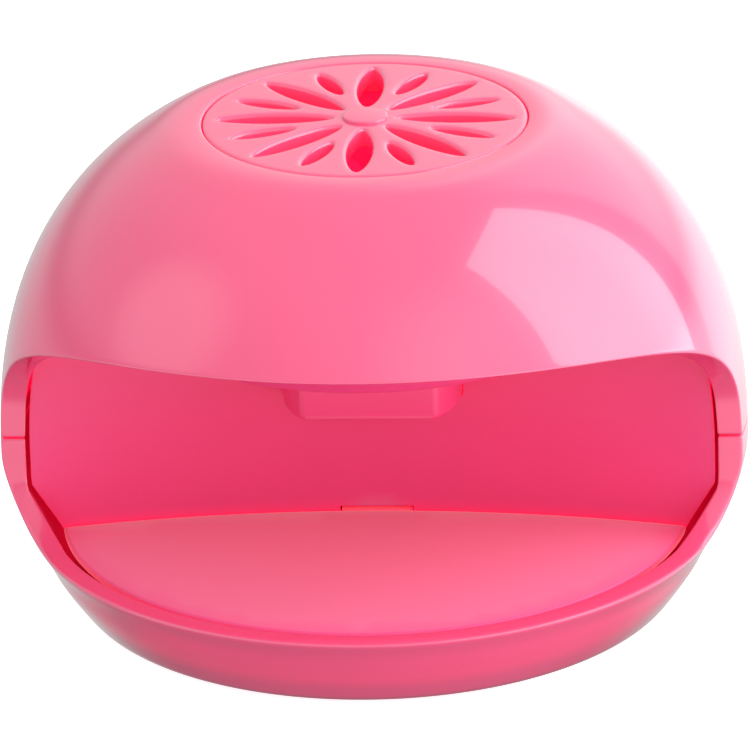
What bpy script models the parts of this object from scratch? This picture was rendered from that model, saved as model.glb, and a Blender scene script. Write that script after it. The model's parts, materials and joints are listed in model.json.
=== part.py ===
"""Dome-shaped nail lamp with a fan, a press plate and a ring of small UV LEDs.

Run it with: blender --background --python part.py, or from Blender's text editor.
All dimensions are in millimetres and are turned into metres when a mesh is made.
Frame: +Z up, the fingers go in along +Y, z = 0 is the table. The dome is turned about a
vertical axis, and most places are given from that axis ("lamp_axis", a parent empty).
"""
import math

import bmesh
import bpy
from mathutils import Matrix, Vector

MM = 0.001

# ---------------------------------------------------------------- driving dimensions
DOME_RADIUS = 65.5       # at the widest line
DOME_RISE = 65.2         # height the dome's curve would reach above the widest line
DOME_POWER = 2.345       # exponent of the dome's super-ellipse
BOWL_DROP = 62.8         # depth the bowl's curve would reach below the widest line
BOWL_POWER = 1.51        # exponent of the bowl's super-ellipse
EQUATOR_Z = 29.0         # height of the widest line
SEAM_RISE = 3.8          # height of the parting line above the widest line
AXIS_Y = -2.14           # puts the middle of the whole object's box at y = 0
WALL = 2.6               # thickness of the shells
LIP = 4.2                # thickness of the shells round the mouth
LIP_DEPTH = 3.0          # how far that thick lip reaches back from the mouth
LIP_KINK_DROP = 5.6      # where the lip's inner face turns in towards the rim
GAP = 0.3                # clearance between pieces that touch

RIM_DROP = 13.4          # lower edge of the mouth, below the widest line
RIM_INNER_RADIUS = 57.0
MOUTH_BACK_Y = -10.5     # side edges of the mouth
MOUTH_CORNER = 11.0      # radius of the mouth's lower corners

BASE_Z = 0.8             # underside of the base, above the table
FLOOR_Z = 3.4            # inside of the base
FLOOR_RADIUS = 50.0

GRILLE_RADIUS = 28.0
GRILLE_TOP = EQUATOR_Z + 59.0
GRILLE_THICKNESS = 3.0
GRILLE_CROWN = 0.3
GRILLE_BOSS = 0.6        # height of the boss above the crown

PLATE_RADIUS = 55.8
PLATE_TOP = 15.1
PLATE_THICKNESS = 1.8
HINGE_Y = 4.6            # pin of the press plate, behind the wall
HINGE_Z = 12.4
TONGUE_WIDTH = 12.4

WALL_FACE_Y = -0.6       # front of the back wall on the centre line
WALL_BEND = 210.0        # radius of the wall in plan, hollow towards the fingers
WALL_THICKNESS = 2.0

DISH_RADIUS = 41.0
DISH_Z = EQUATOR_Z + 24.0
ROOF_Z = EQUATOR_Z + 34.0
ROOF_RADIUS = 52.6
PANEL = 1.8              # thickness of the ceiling panel

POD_RADIUS = 16.5
POD_FRONT_Y = -13.3
POD_Z = EQUATOR_Z + 8.0
POD_WALL = 1.6
POD_CORNER = 3.0
COVER_SCREW_X = 13.9

DUCT_RADIUS = 29.2
DUCT_WALL = 1.4
BLADES = 7
BLADE_TIP = 27.0

MOTOR_RADIUS = 10.0
MOTOR_HALF_FLAT = 7.5
MOTOR_Z = POD_Z + 2.2
SHAFT_RADIUS = 1.0

LED_RING_RADIUS = 35.0
LED_RADIUS = 2.5
LED_ANGLES = (-160, -132, -104, -76, -48, -20)

CELL_RADIUS = 5.25       # AAA cells
CELL_LENGTH = 44.5
CELL_PITCH = 10.8
CELL_ROW_Y = 13.2
CELL_Z = 9.5
CELL_END_X = 23.7        # tip of a cell's positive end

DOOR_HINGE_Y = 9.0
DOOR_HINGE_Z = 1.9

SPRING_PLACES = {"left": (-25.0, -35.0), "right": (25.0, -35.0)}
SWITCH_Y = -30.0
SHELL_SCREWS = {"left": (-42.0, 6.0), "right": (42.0, 6.0), "rear": (0.0, 45.0)}
FEET = {
    "front_left": (-28.0, -33.0),
    "front_right": (28.0, -33.0),
    "rear_left": (-34.5, 25.0),
    "rear_right": (34.5, 25.0),
}
FOOT_RADIUS = 4.2
FOOT_RECESS = 1.4

TURN_STEPS = 48          # facets round the large turned pieces
SMALL_STEPS = 16         # facets round the small ones

PINK = (0.90, 0.125, 0.26)
PINK_INSIDE = (0.85, 0.07, 0.18)
WHITE_PLASTIC = (0.80, 0.80, 0.78)
BLACK_PLASTIC = (0.03, 0.03, 0.035)
STEEL = (0.62, 0.62, 0.64)
BRASS = (0.78, 0.60, 0.28)
COPPER = (0.72, 0.36, 0.18)
BOARD_GREEN = (0.03, 0.22, 0.10)
CELL_GREY = (0.25, 0.27, 0.30)
RUBBER = (0.12, 0.12, 0.13)
LED_CLEAR = (0.70, 0.62, 0.92)
RED_WIRE = (0.70, 0.03, 0.03)
BLACK_WIRE = (0.02, 0.02, 0.02)
MAGNET = (0.10, 0.10, 0.11)

YZ_PLANE = (math.pi / 2, 0.0, math.pi / 2)   # outline x, y become world y, z
XZ_PLANE = (math.pi / 2, 0.0, 0.0)           # outline x, y become world x, z


# ---------------------------------------------------------------- scene and materials
def clear_scene():
    for thing in list(bpy.data.objects):
        bpy.data.objects.remove(thing, do_unlink=True)


def new_collection(name):
    collection = bpy.data.collections.new(name)
    bpy.context.scene.collection.children.link(collection)
    return collection


def new_empty(name, parent, place):
    empty = bpy.data.objects.new(name, None)
    empty.empty_display_size = 0.01
    empty.parent = parent
    empty.location = Vector(place) * MM
    PARTS.objects.link(empty)
    return empty


def paint(obj, colour, roughness=0.35, metallic=0.0):
    material = bpy.data.materials.new(obj.name + "_material")
    material.use_nodes = True
    shader = material.node_tree.nodes["Principled BSDF"]
    shader.inputs["Base Color"].default_value = (*colour, 1.0)
    shader.inputs["Roughness"].default_value = roughness
    shader.inputs["Metallic"].default_value = metallic
    obj.data.materials.clear()
    obj.data.materials.append(material)
    return obj


def add_object(name, mesh, place=(0.0, 0.0, 0.0), turn=(0.0, 0.0, 0.0), parent=None):
    """Place a mesh. A parent's own origin is at its joint, so the place is taken from it."""
    obj = bpy.data.objects.new(name, mesh)
    obj.parent = parent or AXIS
    origin = Vector((0.0, 0.0, 0.0))
    if parent and parent is not AXIS:
        origin = parent.location / MM
    obj.location = (Vector(place) - origin) * MM
    obj.rotation_euler = turn
    PARTS.objects.link(obj)
    return obj


# ---------------------------------------------------------------- solids
def box(name, low, high, parent=None, turn=(0.0, 0.0, 0.0)):
    """A block between two corners; a turned one is turned about its own middle."""
    size = Vector(high) - Vector(low)
    shape = bmesh.new()
    bmesh.ops.create_cube(shape, size=1.0)
    bmesh.ops.scale(shape, vec=size * MM, verts=shape.verts)
    mesh = bpy.data.meshes.new(name)
    shape.to_mesh(mesh)
    shape.free()
    return add_object(name, mesh, (Vector(low) + Vector(high)) / 2, turn, parent)


def rod(name, start, length, radius, axis="Z", steps=SMALL_STEPS, parent=None):
    """A cylinder that starts at a point and runs along an axis."""
    shape = bmesh.new()
    bmesh.ops.create_cone(shape, cap_ends=True, segments=steps, radius1=radius * MM,
                          radius2=radius * MM, depth=length * MM)
    bmesh.ops.translate(shape, vec=(0.0, 0.0, length * MM / 2), verts=shape.verts)
    mesh = bpy.data.meshes.new(name)
    shape.to_mesh(mesh)
    shape.free()
    mesh.shade_smooth()
    mesh.set_sharp_from_angle(angle=math.radians(35))
    turns = {"Z": (0.0, 0.0, 0.0), "X": (0.0, math.pi / 2, 0.0), "Y": (-math.pi / 2, 0.0, 0.0)}
    return add_object(name, mesh, start, turns[axis], parent)


def turned(name, profile, place=(0.0, 0.0, 0.0), closed=False, steps=SMALL_STEPS,
           turn=(0.0, 0.0, 0.0), parent=None):
    """Turn a profile of (radius, height) about Z. It runs down the outer side."""
    mesh = bpy.data.meshes.new(name)
    points = [(radius * MM, 0.0, height * MM) for radius, height in profile]
    edges = [(i, i + 1) for i in range(len(points) - 1)]
    if closed:
        edges.append((len(points) - 1, 0))
    mesh.from_pydata(points, edges, [])
    obj = add_object(name, mesh, place, turn, parent)
    screw = obj.modifiers.new("turn", "SCREW")
    screw.steps = steps
    screw.render_steps = steps
    screw.use_merge_vertices = True
    screw.merge_threshold = 0.00001
    return obj


def flat_curve(name, outlines, thickness):
    """A 2D curve filled and extruded to a thickness, centred on its own plane."""
    curve = bpy.data.curves.new(name, "CURVE")
    curve.dimensions = "2D"
    curve.fill_mode = "BOTH"
    curve.extrude = thickness * MM / 2
    for outline in outlines:
        spline = curve.splines.new("POLY")
        spline.points.add(len(outline) - 1)
        for point, (x, y) in zip(spline.points, outline):
            point.co = (x * MM, y * MM, 0.0, 1.0)
        spline.use_cyclic_u = True
    return curve


def to_mesh_object(source):
    """Swap a curve object for a closed mesh object in the same place."""
    bpy.context.view_layer.update()
    evaluated = source.evaluated_get(bpy.context.evaluated_depsgraph_get())
    mesh = bpy.data.meshes.new_from_object(evaluated)
    shape = bmesh.new()
    shape.from_mesh(mesh)
    bmesh.ops.remove_doubles(shape, verts=shape.verts, dist=0.000002)
    bmesh.ops.recalc_face_normals(shape, faces=shape.faces)
    shape.to_mesh(mesh)
    shape.free()
    name = source.name
    parent = source.parent
    matrix = source.matrix_world.copy()
    bpy.data.objects.remove(source, do_unlink=True)
    result = bpy.data.objects.new(name, mesh)
    result.parent = parent
    PARTS.objects.link(result)
    result.matrix_world = matrix
    return result


def slab(name, outlines, thickness, place=(0.0, 0.0, 0.0), turn=(0.0, 0.0, 0.0), parent=None):
    """A solid with one or more flat outlines, its middle plane at the place."""
    curve = flat_curve(name, outlines, thickness)
    return to_mesh_object(add_object(name, curve, place, turn, parent))


def tube(name, points, radius, parent=None, place=(0.0, 0.0, 0.0)):
    """A round wire through the points."""
    curve = bpy.data.curves.new(name, "CURVE")
    curve.dimensions = "3D"
    curve.bevel_depth = radius * MM
    curve.bevel_resolution = 2
    curve.use_fill_caps = True
    spline = curve.splines.new("POLY")
    spline.points.add(len(points) - 1)
    for point, position in zip(spline.points, points):
        point.co = (*(Vector(position) * MM), 1.0)
    return add_object(name, curve, place, parent=parent)


def combine(target, tool, operation="DIFFERENCE"):
    """Cut, join or trim the target with a tool, which is kept as a hidden guide."""
    modifier = target.modifiers.new(tool.name, "BOOLEAN")
    modifier.object = tool
    modifier.operation = operation
    modifier.solver = "EXACT"
    PARTS.objects.unlink(tool)
    CUTTERS.objects.link(tool)
    tool.hide_render = True
    tool.display_type = "WIRE"
    return target


def join(target, tool):
    return combine(target, tool, "UNION")


def trim(target, tool):
    return combine(target, tool, "INTERSECT")


# ---------------------------------------------------------------- curves and outlines
def dome_radius(height, inset=0.0):
    """Radius of the dome (moved in by inset) at a height above the widest line."""
    share = (height / (DOME_RISE - inset)) ** DOME_POWER
    return (DOME_RADIUS - inset) * (1.0 - share) ** (1.0 / DOME_POWER)


def bowl_radius(drop, inset=0.0):
    """Radius of the bowl at a depth below the widest line."""
    share = (drop / BOWL_DROP) ** BOWL_POWER
    return DOME_RADIUS * (1.0 - share) ** (1.0 / BOWL_POWER) - inset


def dome_points(low, high, count, inset=0.0):
    """Points of the dome's profile from a low height up to a high one."""
    rise = DOME_RISE - inset
    start = math.asin((low / rise) ** (DOME_POWER / 2))
    end = math.asin((high / rise) ** (DOME_POWER / 2))
    points = []
    for i in range(count):
        angle = start + (end - start) * i / (count - 1)
        height = rise * math.sin(angle) ** (2 / DOME_POWER)
        points.append((dome_radius(height, inset), EQUATOR_Z + height))
    return points


def bowl_points(low_drop, high_drop, count, inset=0.0):
    """Points of the bowl's profile, from a small drop down to a large one."""
    points = []
    for i in range(count):
        drop = low_drop + (high_drop - low_drop) * i / (count - 1)
        points.append((bowl_radius(drop, inset), EQUATOR_Z - drop))
    return points


def lower_side(drop, count, inset=0.0):
    """Profile of the lower shell's side, from the parting line down to a drop."""
    points = list(reversed(dome_points(0.0, SEAM_RISE - GAP / 2, 3, inset)))
    return points + bowl_points(0.0, drop, count, inset)[1:]


def arc(centre, radius, start, end, count):
    """Points on an arc between two angles in degrees."""
    points = []
    for i in range(count):
        angle = math.radians(start + (end - start) * i / (count - 1))
        points.append((centre[0] + radius * math.cos(angle), centre[1] + radius * math.sin(angle)))
    return points


def bezier(a, b, c, d, count):
    """Points on a cubic curve, with the normal direction of each."""
    result = []
    for i in range(count):
        t = i / (count - 1)
        s = 1.0 - t
        point = [s ** 3 * a[k] + 3 * s * s * t * b[k] + 3 * s * t * t * c[k] + t ** 3 * d[k]
                 for k in range(2)]
        slope = [s * s * (b[k] - a[k]) + 2 * s * t * (c[k] - b[k]) + t * t * (d[k] - c[k])
                 for k in range(2)]
        length = math.hypot(*slope)
        result.append((point, (slope[1] / length, -slope[0] / length)))
    return result


def mouth_outline(grow=0.0):
    """Side view (y, z) of the mouth, grown outwards by a distance."""
    front = -DOME_RADIUS - 15.0
    rim = EQUATOR_Z - RIM_DROP
    corner = (MOUTH_BACK_Y - MOUTH_CORNER, rim + MOUTH_CORNER)
    points = [(front, rim - grow)]
    points += arc(corner, MOUTH_CORNER + grow, -90, 0, 8)
    lip = bezier((MOUTH_BACK_Y, EQUATOR_Z + 9.0), (MOUTH_BACK_Y + 0.3, EQUATOR_Z + 21.5),
                 (-32.0, EQUATOR_Z + 31.0), (-64.0, EQUATOR_Z + 33.9), 13)
    for point, normal in lip:
        points.append((point[0] + normal[0] * grow, point[1] + normal[1] * grow))
    points.append((front, points[-1][1] + 0.5))
    return points


def mouth_block(name, grow=0.0):
    """The mouth's outline as a block that passes right through the object."""
    return slab(name, [mouth_outline(grow)], 3 * DOME_RADIUS, turn=YZ_PLANE)


def pod_outline(inset=0.0):
    """Plan of the motor pod: a circle with a flat front and rounded edges."""
    radius = POD_RADIUS - inset
    flat = POD_FRONT_Y + inset
    corner = POD_CORNER - min(inset, POD_CORNER / 2)
    centre_y = flat + corner
    centre_x = math.sqrt((radius - corner) ** 2 - centre_y ** 2)
    meet = math.degrees(math.atan2(centre_y, centre_x))
    points = arc((0.0, 0.0), radius, meet, 180.0 - meet, 25)
    points += arc((-centre_x, centre_y), corner, 180.0 - meet, 270.0, 5)[1:]
    points += arc((centre_x, centre_y), corner, 270.0, 360.0 + meet, 5)[:-1]
    return points


def petal(length, width, distance, angle):
    """A lens-shaped slot that points to the centre; distance is to its near tip."""
    half = length / 2
    bulge = width / 2
    radius = (half * half + bulge * bulge) / (2 * bulge)
    sweep = math.degrees(math.asin(half / radius))
    upper = arc((0.0, bulge - radius), radius, 90 + sweep, 90 - sweep, 5)
    lower = arc((0.0, radius - bulge), radius, 270 + sweep, 270 - sweep, 5)
    turn = math.radians(angle)
    points = []
    for x, y in upper + lower[1:-1]:
        along = x + distance + half
        points.append((along * math.cos(turn) - y * math.sin(turn),
                       along * math.sin(turn) + y * math.cos(turn)))
    return points


def capsule(length, width, distance, angle):
    """A slot with round ends that points to the centre."""
    reach = length - width
    ends = arc((reach, 0.0), width / 2, -90, 90, 4) + arc((0.0, 0.0), width / 2, 90, 270, 4)
    turn = math.radians(angle)
    points = []
    for x, y in ends:
        along = x + distance + width / 2
        points.append((along * math.cos(turn) - y * math.sin(turn),
                       along * math.sin(turn) + y * math.cos(turn)))
    return points


def wall_y(x, offset=0.0):
    """Front of the back wall at a distance from the centre line, moved back by offset."""
    return WALL_FACE_Y - WALL_BEND + math.sqrt((WALL_BEND + offset) ** 2 - x * x)


def polar(radius, angle):
    return radius * math.cos(math.radians(angle)), radius * math.sin(math.radians(angle))


# ---------------------------------------------------------------- shells
def upper_shell():
    seat_radius = GRILLE_RADIUS + GAP
    ledge_radius = GRILLE_RADIUS - 1.6
    ledge_top = GRILLE_TOP - GRILLE_THICKNESS - GAP
    ledge_low = ledge_top - 1.5
    seam = SEAM_RISE + GAP / 2
    profile = [(ledge_radius, ledge_top), (seat_radius, ledge_top), (seat_radius, GRILLE_TOP),
               (31.4, GRILLE_TOP), (34.2, GRILLE_TOP - 0.6)]
    profile += reversed(dome_points(seam, 57.0, 10))
    profile += dome_points(seam, ledge_low - EQUATOR_Z, 8, WALL)
    profile.append((ledge_radius, ledge_low))
    shell = turned("upper_shell", profile, closed=True, steps=TURN_STEPS)

    lip_height = 40.0
    lip_profile = list(reversed(dome_points(seam, lip_height, 6, 0.8)))
    lip_profile += dome_points(seam, lip_height, 6, LIP)
    lip = turned("upper_lip", lip_profile, closed=True, steps=TURN_STEPS)
    trim(lip, mouth_block("upper_lip_zone", LIP_DEPTH))
    join(shell, lip)
    combine(shell, mouth_block("mouth_above"))

    for side, (x, y) in SHELL_SCREWS.items():
        add_screw_boss(shell, side, x, y)
    for i in range(3):
        add_ceiling_post(shell, i)
    return paint(shell, PINK, 0.16)


def add_screw_boss(shell, side, x, y):
    """A post that takes a screw, held to the shell's wall by a web."""
    low = EQUATOR_Z + SEAM_RISE + GAP / 2
    post = rod("boss_" + side, (x, y, low), 12.0, 3.2)
    reach = math.hypot(x, y)
    web_end = DOME_RADIUS - 1.6
    middle = (reach + web_end) / 2 / reach
    half = (web_end - reach) / 2
    place = Vector((x * middle, y * middle, low + 7.5))
    web = box("web_" + side, place - Vector((half, 0.8, 5.0)), place + Vector((half, 0.8, 5.0)),
              turn=(0.0, 0.0, math.atan2(y, x)))
    hole = rod("boss_hole_" + side, (x, y, low - 1.0), 11.5, 1.5)
    join(shell, post)
    join(shell, web)
    combine(shell, hole)


def ceiling_post_place(index):
    return polar(49.5, 90 + 120 * index)


def add_ceiling_post(shell, index):
    """A post that hangs from the dome and holds the ceiling panel."""
    x, y = ceiling_post_place(index)
    low = ROOF_Z + PANEL + GAP
    join(shell, rod(f"ceiling_post_{index}", (x, y, low), 8.0, 2.6))
    combine(shell, rod(f"ceiling_post_hole_{index}", (x, y, low - 1.0), 6.0, 1.2, steps=12))


def lower_shell():
    floor_drop = EQUATOR_Z - FLOOR_Z
    inner_side = [(0.0, FLOOR_Z), (FLOOR_RADIUS, FLOOR_Z),
                  (bowl_radius(floor_drop - 1.2, WALL), FLOOR_Z + 1.2)]
    inner_side += reversed(bowl_points(14.9, floor_drop - 3.0, 3, WALL))
    inner_side.append((RIM_INNER_RADIUS, EQUATOR_Z - RIM_DROP))
    inner_side += reversed(lower_side(12.4, 3, WALL))
    outer_side = lower_side(25.7, 7)
    outer_side += [(52.3, 1.7), (51.1, 1.0), (49.9, BASE_Z), (0.0, BASE_Z)]
    shell = turned("lower_shell", inner_side + outer_side, steps=TURN_STEPS)

    lip_low = 14.0
    lip_profile = lower_side(lip_low, 4, 0.8)
    lip_profile += [(RIM_INNER_RADIUS + 0.4, EQUATOR_Z - lip_low),
                    (RIM_INNER_RADIUS, EQUATOR_Z - RIM_DROP),
                    (DOME_RADIUS - LIP, EQUATOR_Z - LIP_KINK_DROP),
                    (DOME_RADIUS - LIP, EQUATOR_Z + SEAM_RISE - GAP / 2)]
    lip = turned("lower_lip", lip_profile, closed=True, steps=TURN_STEPS)
    trim(lip, mouth_block("lower_lip_zone", LIP_DEPTH))
    join(shell, lip)
    combine(shell, mouth_block("mouth_below"))

    for side, (x, y) in SHELL_SCREWS.items():
        top = EQUATOR_Z + SEAM_RISE - GAP / 2
        join(shell, rod("post_" + side, (x, y, FLOOR_Z - 1.0), top - FLOOR_Z + 1.0, 3.5))
    for side, (x, y) in SHELL_SCREWS.items():
        combine(shell, rod("well_" + side, (x, y, 0.0), 13.0, 2.8))
        combine(shell, rod("shank_hole_" + side, (x, y, 10.0), 24.0, 1.5))
    for corner, (x, y) in FEET.items():
        combine(shell, rod("foot_recess_" + corner, (x, y, BASE_Z - 1.0), FOOT_RECESS + 1.0,
                           FOOT_RADIUS + GAP))
    for side, (x, y) in SPRING_PLACES.items():
        join(shell, rod("spring_stud_" + side, (x, y, FLOOR_Z - 1.0), 3.4, 2.4, steps=12))
    add_hinge_posts(shell)
    add_wall_ribs(shell)
    cut_battery_opening(shell)
    return paint(shell, PINK, 0.18)


def add_hinge_posts(shell):
    """Two posts behind the wall that carry the press plate's pin."""
    for side in (-1, 1):
        x = side * 9.0
        low = (x - 1.2, HINGE_Y - 2.2, FLOOR_Z - 1.0)
        high = (x + 1.2, HINGE_Y + 2.0, HINGE_Z + 2.4)
        join(shell, box(f"hinge_post_{side}", low, high))
    combine(shell, rod("hinge_bore", (-12.0, HINGE_Y, HINGE_Z), 24.0, 1.3, "X", 12))


def add_wall_ribs(shell):
    """Pairs of ribs that hold the foot of the back wall, which is bent between them."""
    bend_gap = 0.75
    thickness = 1.2
    for x in (-36.0, 36.0):
        front = wall_y(x)
        rear = front + WALL_THICKNESS + bend_gap
        for name, y in (("front", front - bend_gap - thickness), ("rear", rear)):
            low = (x - 2.0, y, FLOOR_Z - 1.0)
            high = (x + 2.0, y + thickness, FLOOR_Z + 3.0)
            join(shell, box(f"wall_rib_{name}_{x:.0f}", low, high))


def cut_battery_opening(shell):
    low = (-23.9, 7.4, -2.0)
    high = (23.9, 40.0, FLOOR_Z + 1.0)
    combine(shell, box("battery_opening", low, high))
    combine(shell, rod("door_sockets", (-25.4, DOOR_HINGE_Y, DOOR_HINGE_Z), 50.8, 0.9, "X", 12))


# ---------------------------------------------------------------- grille
def top_grille():
    """The round vent insert: eight long and eight short petals round a boss."""
    low = GRILLE_TOP - GRILLE_THICKNESS
    edge = GRILLE_RADIUS
    crown = GRILLE_TOP + GRILLE_CROWN
    profile = [(0.0, crown + GRILLE_BOSS), (3.3, crown + GRILLE_BOSS - 0.05),
               (3.9, crown + GRILLE_BOSS - 0.4), (4.1, crown - 0.03),
               (edge * 0.5, GRILLE_TOP + GRILLE_CROWN * 0.7), (edge - 0.5, GRILLE_TOP),
               (edge, GRILLE_TOP - 0.4), (edge, low), (0.0, low)]
    grille = turned("top_grille", profile, steps=48)
    petals = [petal(19.9, 4.3, 5.7, 45 * i) for i in range(8)]
    petals += [petal(11.4, 2.8, 12.9, 22.5 + 45 * i) for i in range(8)]
    combine(grille, slab("petals", petals, 12.0, (0.0, 0.0, GRILLE_TOP)))
    for i in range(3):
        x, y = polar(GRILLE_RADIUS - 2.5, 36 + 120 * i)
        leg = box(f"grille_leg_{i}", (x - 0.6, y - 2.0, low - 2.2), (x + 0.6, y + 2.0, low + 0.6),
                  turn=(0.0, 0.0, math.atan2(y, x)))
        join(grille, leg)
    return paint(grille, PINK, 0.3)


# ---------------------------------------------------------------- wall and ceiling
def back_wall():
    """A tall wall bent about a vertical line, trimmed to the shells' inside."""
    span = 61.0
    count = 19
    xs = [-span + 2 * span * i / (count - 1) for i in range(count)]
    outline = [(x, wall_y(x)) for x in xs]
    outline += [(x, wall_y(x, WALL_THICKNESS)) for x in reversed(xs)]
    low = FLOOR_Z + GAP
    top = ROOF_Z - 0.6
    wall = slab("back_wall", [outline], top - low, (0.0, 0.0, (top + low) / 2))

    side_gap = 1.0
    limit_profile = [(0.0, top + 2.0)]
    limit_profile += reversed(dome_points(0.0, top + 2.0 - EQUATOR_Z, 6, LIP + side_gap))
    limit_profile.append((DOME_RADIUS - LIP - side_gap, EQUATOR_Z - LIP_KINK_DROP + 0.3))
    limit_profile += bowl_points(RIM_DROP - 0.3, EQUATOR_Z - low + 0.2, 4, LIP + side_gap + 0.3)
    limit_profile.append((0.0, low - 0.2))
    trim(wall, turned("wall_limit", limit_profile, steps=TURN_STEPS))

    notch = POD_RADIUS + 0.5
    dish_edge = DISH_RADIUS + 0.6
    under_dish = DISH_Z - 0.6
    over = top + 3.0
    clearance = [(-dish_edge - 6.6, over), (-dish_edge, under_dish), (-notch, under_dish),
                 (-notch, POD_Z - 0.5), (notch, POD_Z - 0.5), (notch, under_dish),
                 (dish_edge, under_dish), (dish_edge + 6.6, over)]
    combine(wall, slab("wall_notch", [clearance], 40.0, turn=XZ_PLANE))
    slot_low = PLATE_TOP - PLATE_THICKNESS - 0.8
    combine(wall, box("tongue_slot", (-6.5, -6.0, slot_low), (6.5, 6.0, PLATE_TOP + 0.5)))
    combine(wall, box("wire_gap", (-19.0, -8.0, low - 1.0), (-13.0, 8.0, low + 3.0)))
    return paint(wall, PINK_INSIDE, 0.5)


def ceiling_panel():
    """The cavity's roof with the dish, a collar for the motor and the air slots."""
    bore = MOTOR_RADIUS + 0.9
    collar = bore + 1.0
    collar_top = DISH_Z + PANEL + 3.0
    slope_top = DISH_RADIUS + 5.0
    profile = [(collar, collar_top), (collar, DISH_Z + PANEL),
               (DISH_RADIUS - 1.0, DISH_Z + PANEL), (slope_top - 1.0, ROOF_Z + PANEL),
               (ROOF_RADIUS, ROOF_Z + PANEL), (ROOF_RADIUS, ROOF_Z), (slope_top + 0.8, ROOF_Z),
               (DISH_RADIUS, DISH_Z + 0.5), (DISH_RADIUS - 0.7, DISH_Z), (bore, DISH_Z),
               (bore, collar_top)]
    panel = turned("ceiling_panel", profile, closed=True, steps=TURN_STEPS)
    slots = [capsule(9.6, 3.4, POD_RADIUS + 2.2, -150 + 20 * i) for i in range(7)]
    combine(panel, slab("air_slots", slots, 8.0, (0.0, 0.0, DISH_Z)))
    for i, angle in enumerate(LED_ANGLES):
        x, y = polar(LED_RING_RADIUS, angle)
        combine(panel, rod(f"led_hole_{i}", (x, y, DISH_Z - 1.0), 4.0, LED_RADIUS + GAP, steps=12))
    for i in range(3):
        x, y = ceiling_post_place(i)
        combine(panel, rod(f"panel_hole_{i}", (x, y, ROOF_Z - 1.0), 4.0, 1.2, steps=12))
    for side in (-1, 1):
        hole_x = side * COVER_SCREW_X
        combine(panel, rod(f"cover_hole_{side}", (hole_x, 0.0, DISH_Z - 1.0), 4.0, 1.1, steps=12))
    x, y = polar(LED_RING_RADIUS, 110)
    combine(panel, rod("led_wire_hole", (x, y, DISH_Z - 1.0), 4.0, 2.0, steps=12))
    return paint(panel, PINK_INSIDE, 0.45)


def motor_cover():
    """The pod: a cup with a flat front that carries the motor."""
    top = DISH_Z - GAP
    height = top - POD_Z
    cover = slab("motor_cover", [pod_outline()], height, (0.0, 0.0, POD_Z + height / 2))
    inside = slab("cover_inside", [pod_outline(POD_WALL)], height,
                  (0.0, 0.0, POD_Z + POD_WALL + height / 2))
    combine(cover, inside)
    for side in (-1, 1):
        x = side * COVER_SCREW_X
        join(cover, rod(f"cover_post_{side}", (x, 0.0, POD_Z + 0.8), height - 0.8, 2.0, steps=12))
        combine(cover, rod(f"cover_post_hole_{side}", (x, 0.0, top - 7.0), 8.0, 1.1, steps=12))
    combine(cover, box("cover_wire_gap", (-3.5, 10.0, POD_Z + 8.0), (3.5, 20.0, top + 1.0)))
    for i in range(2):
        low = POD_Z + 0.8
        rib_y = (-8.5, 8.5)[i]
        join(cover, box(f"cover_rib_{i}", (-5.0, rib_y - 0.6, low), (5.0, rib_y + 0.6, low + 5.0)))
    return paint(cover, PINK_INSIDE, 0.4)


def fan_housing():
    """The duct between the ceiling panel and the grille."""
    low = DISH_Z + PANEL + GAP
    high = GRILLE_TOP - GRILLE_THICKNESS - 2.1
    outer = DUCT_RADIUS + DUCT_WALL
    profile = [(outer, high), (outer, low), (DUCT_RADIUS, low), (DUCT_RADIUS, high)]
    return paint(turned("fan_housing", profile, closed=True, steps=40), PINK_INSIDE, 0.5)


# ---------------------------------------------------------------- press plate
def plate_outline():
    """Plan of the finger plate: a disc whose rear follows the back wall."""
    gap = 0.6
    reach = math.sqrt(PLATE_RADIUS ** 2 - 8.0 ** 2)
    start = math.degrees(math.atan2(wall_y(reach) - gap, reach))
    front = arc((0.0, 0.0), PLATE_RADIUS, start, -180.0 - start, 31)
    xs = [-reach + 2 * reach * i / 12 for i in range(1, 12)]
    return front + [(x, wall_y(x) - gap) for x in xs]


def press_plate():
    middle = PLATE_TOP - PLATE_THICKNESS / 2
    plate = slab("press_plate", [plate_outline()], PLATE_THICKNESS, (0.0, 0.0, middle),
                 parent=PLATE_HINGE)
    low = PLATE_TOP - PLATE_THICKNESS
    half = TONGUE_WIDTH / 2
    taper_profile = [(0.0, PLATE_TOP + 1.0), (PLATE_RADIUS + 0.4, PLATE_TOP + 1.0),
                     (PLATE_RADIUS + 0.4, PLATE_TOP - 0.5), (PLATE_RADIUS - 1.3, low - 0.2),
                     (0.0, low - 0.2)]
    trim(plate, turned("plate_taper", taper_profile, steps=48))
    tongue = box("tongue", (-half, -4.0, low + 0.05), (half, HINGE_Y, PLATE_TOP - 0.3))
    join(plate, tongue)
    join(plate, rod("plate_barrel", (-half + 0.2, HINGE_Y, HINGE_Z), TONGUE_WIDTH - 0.4, 2.3, "X", 20))
    combine(plate, rod("plate_bore", (-10.0, HINGE_Y, HINGE_Z), 20.0, 1.3, "X", 12))
    for side, (x, y) in SPRING_PLACES.items():
        join(plate, rod("plate_stud_" + side, (x, y, low - 1.6), 2.4, 2.2, steps=12))
    return paint(plate, PINK, 0.42)


def plate_hinge_pin():
    pin = rod("plate_hinge_pin", (-10.4, HINGE_Y, HINGE_Z), 20.8, 1.0, "X", 12)
    return paint(pin, STEEL, 0.3, 1.0)


def plate_springs():
    """Coil springs between the base and the plate."""
    low = FLOOR_Z + GAP
    high = PLATE_TOP - PLATE_THICKNESS - GAP
    wire = 0.35
    for side, (x, y) in SPRING_PLACES.items():
        points = coil_points(3.1, low + wire, high - wire, 4.0, 9)
        spring = tube("plate_spring_" + side, points, wire, place=(x, y, 0.0))
        paint(spring, STEEL, 0.3, 1.0)


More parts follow.
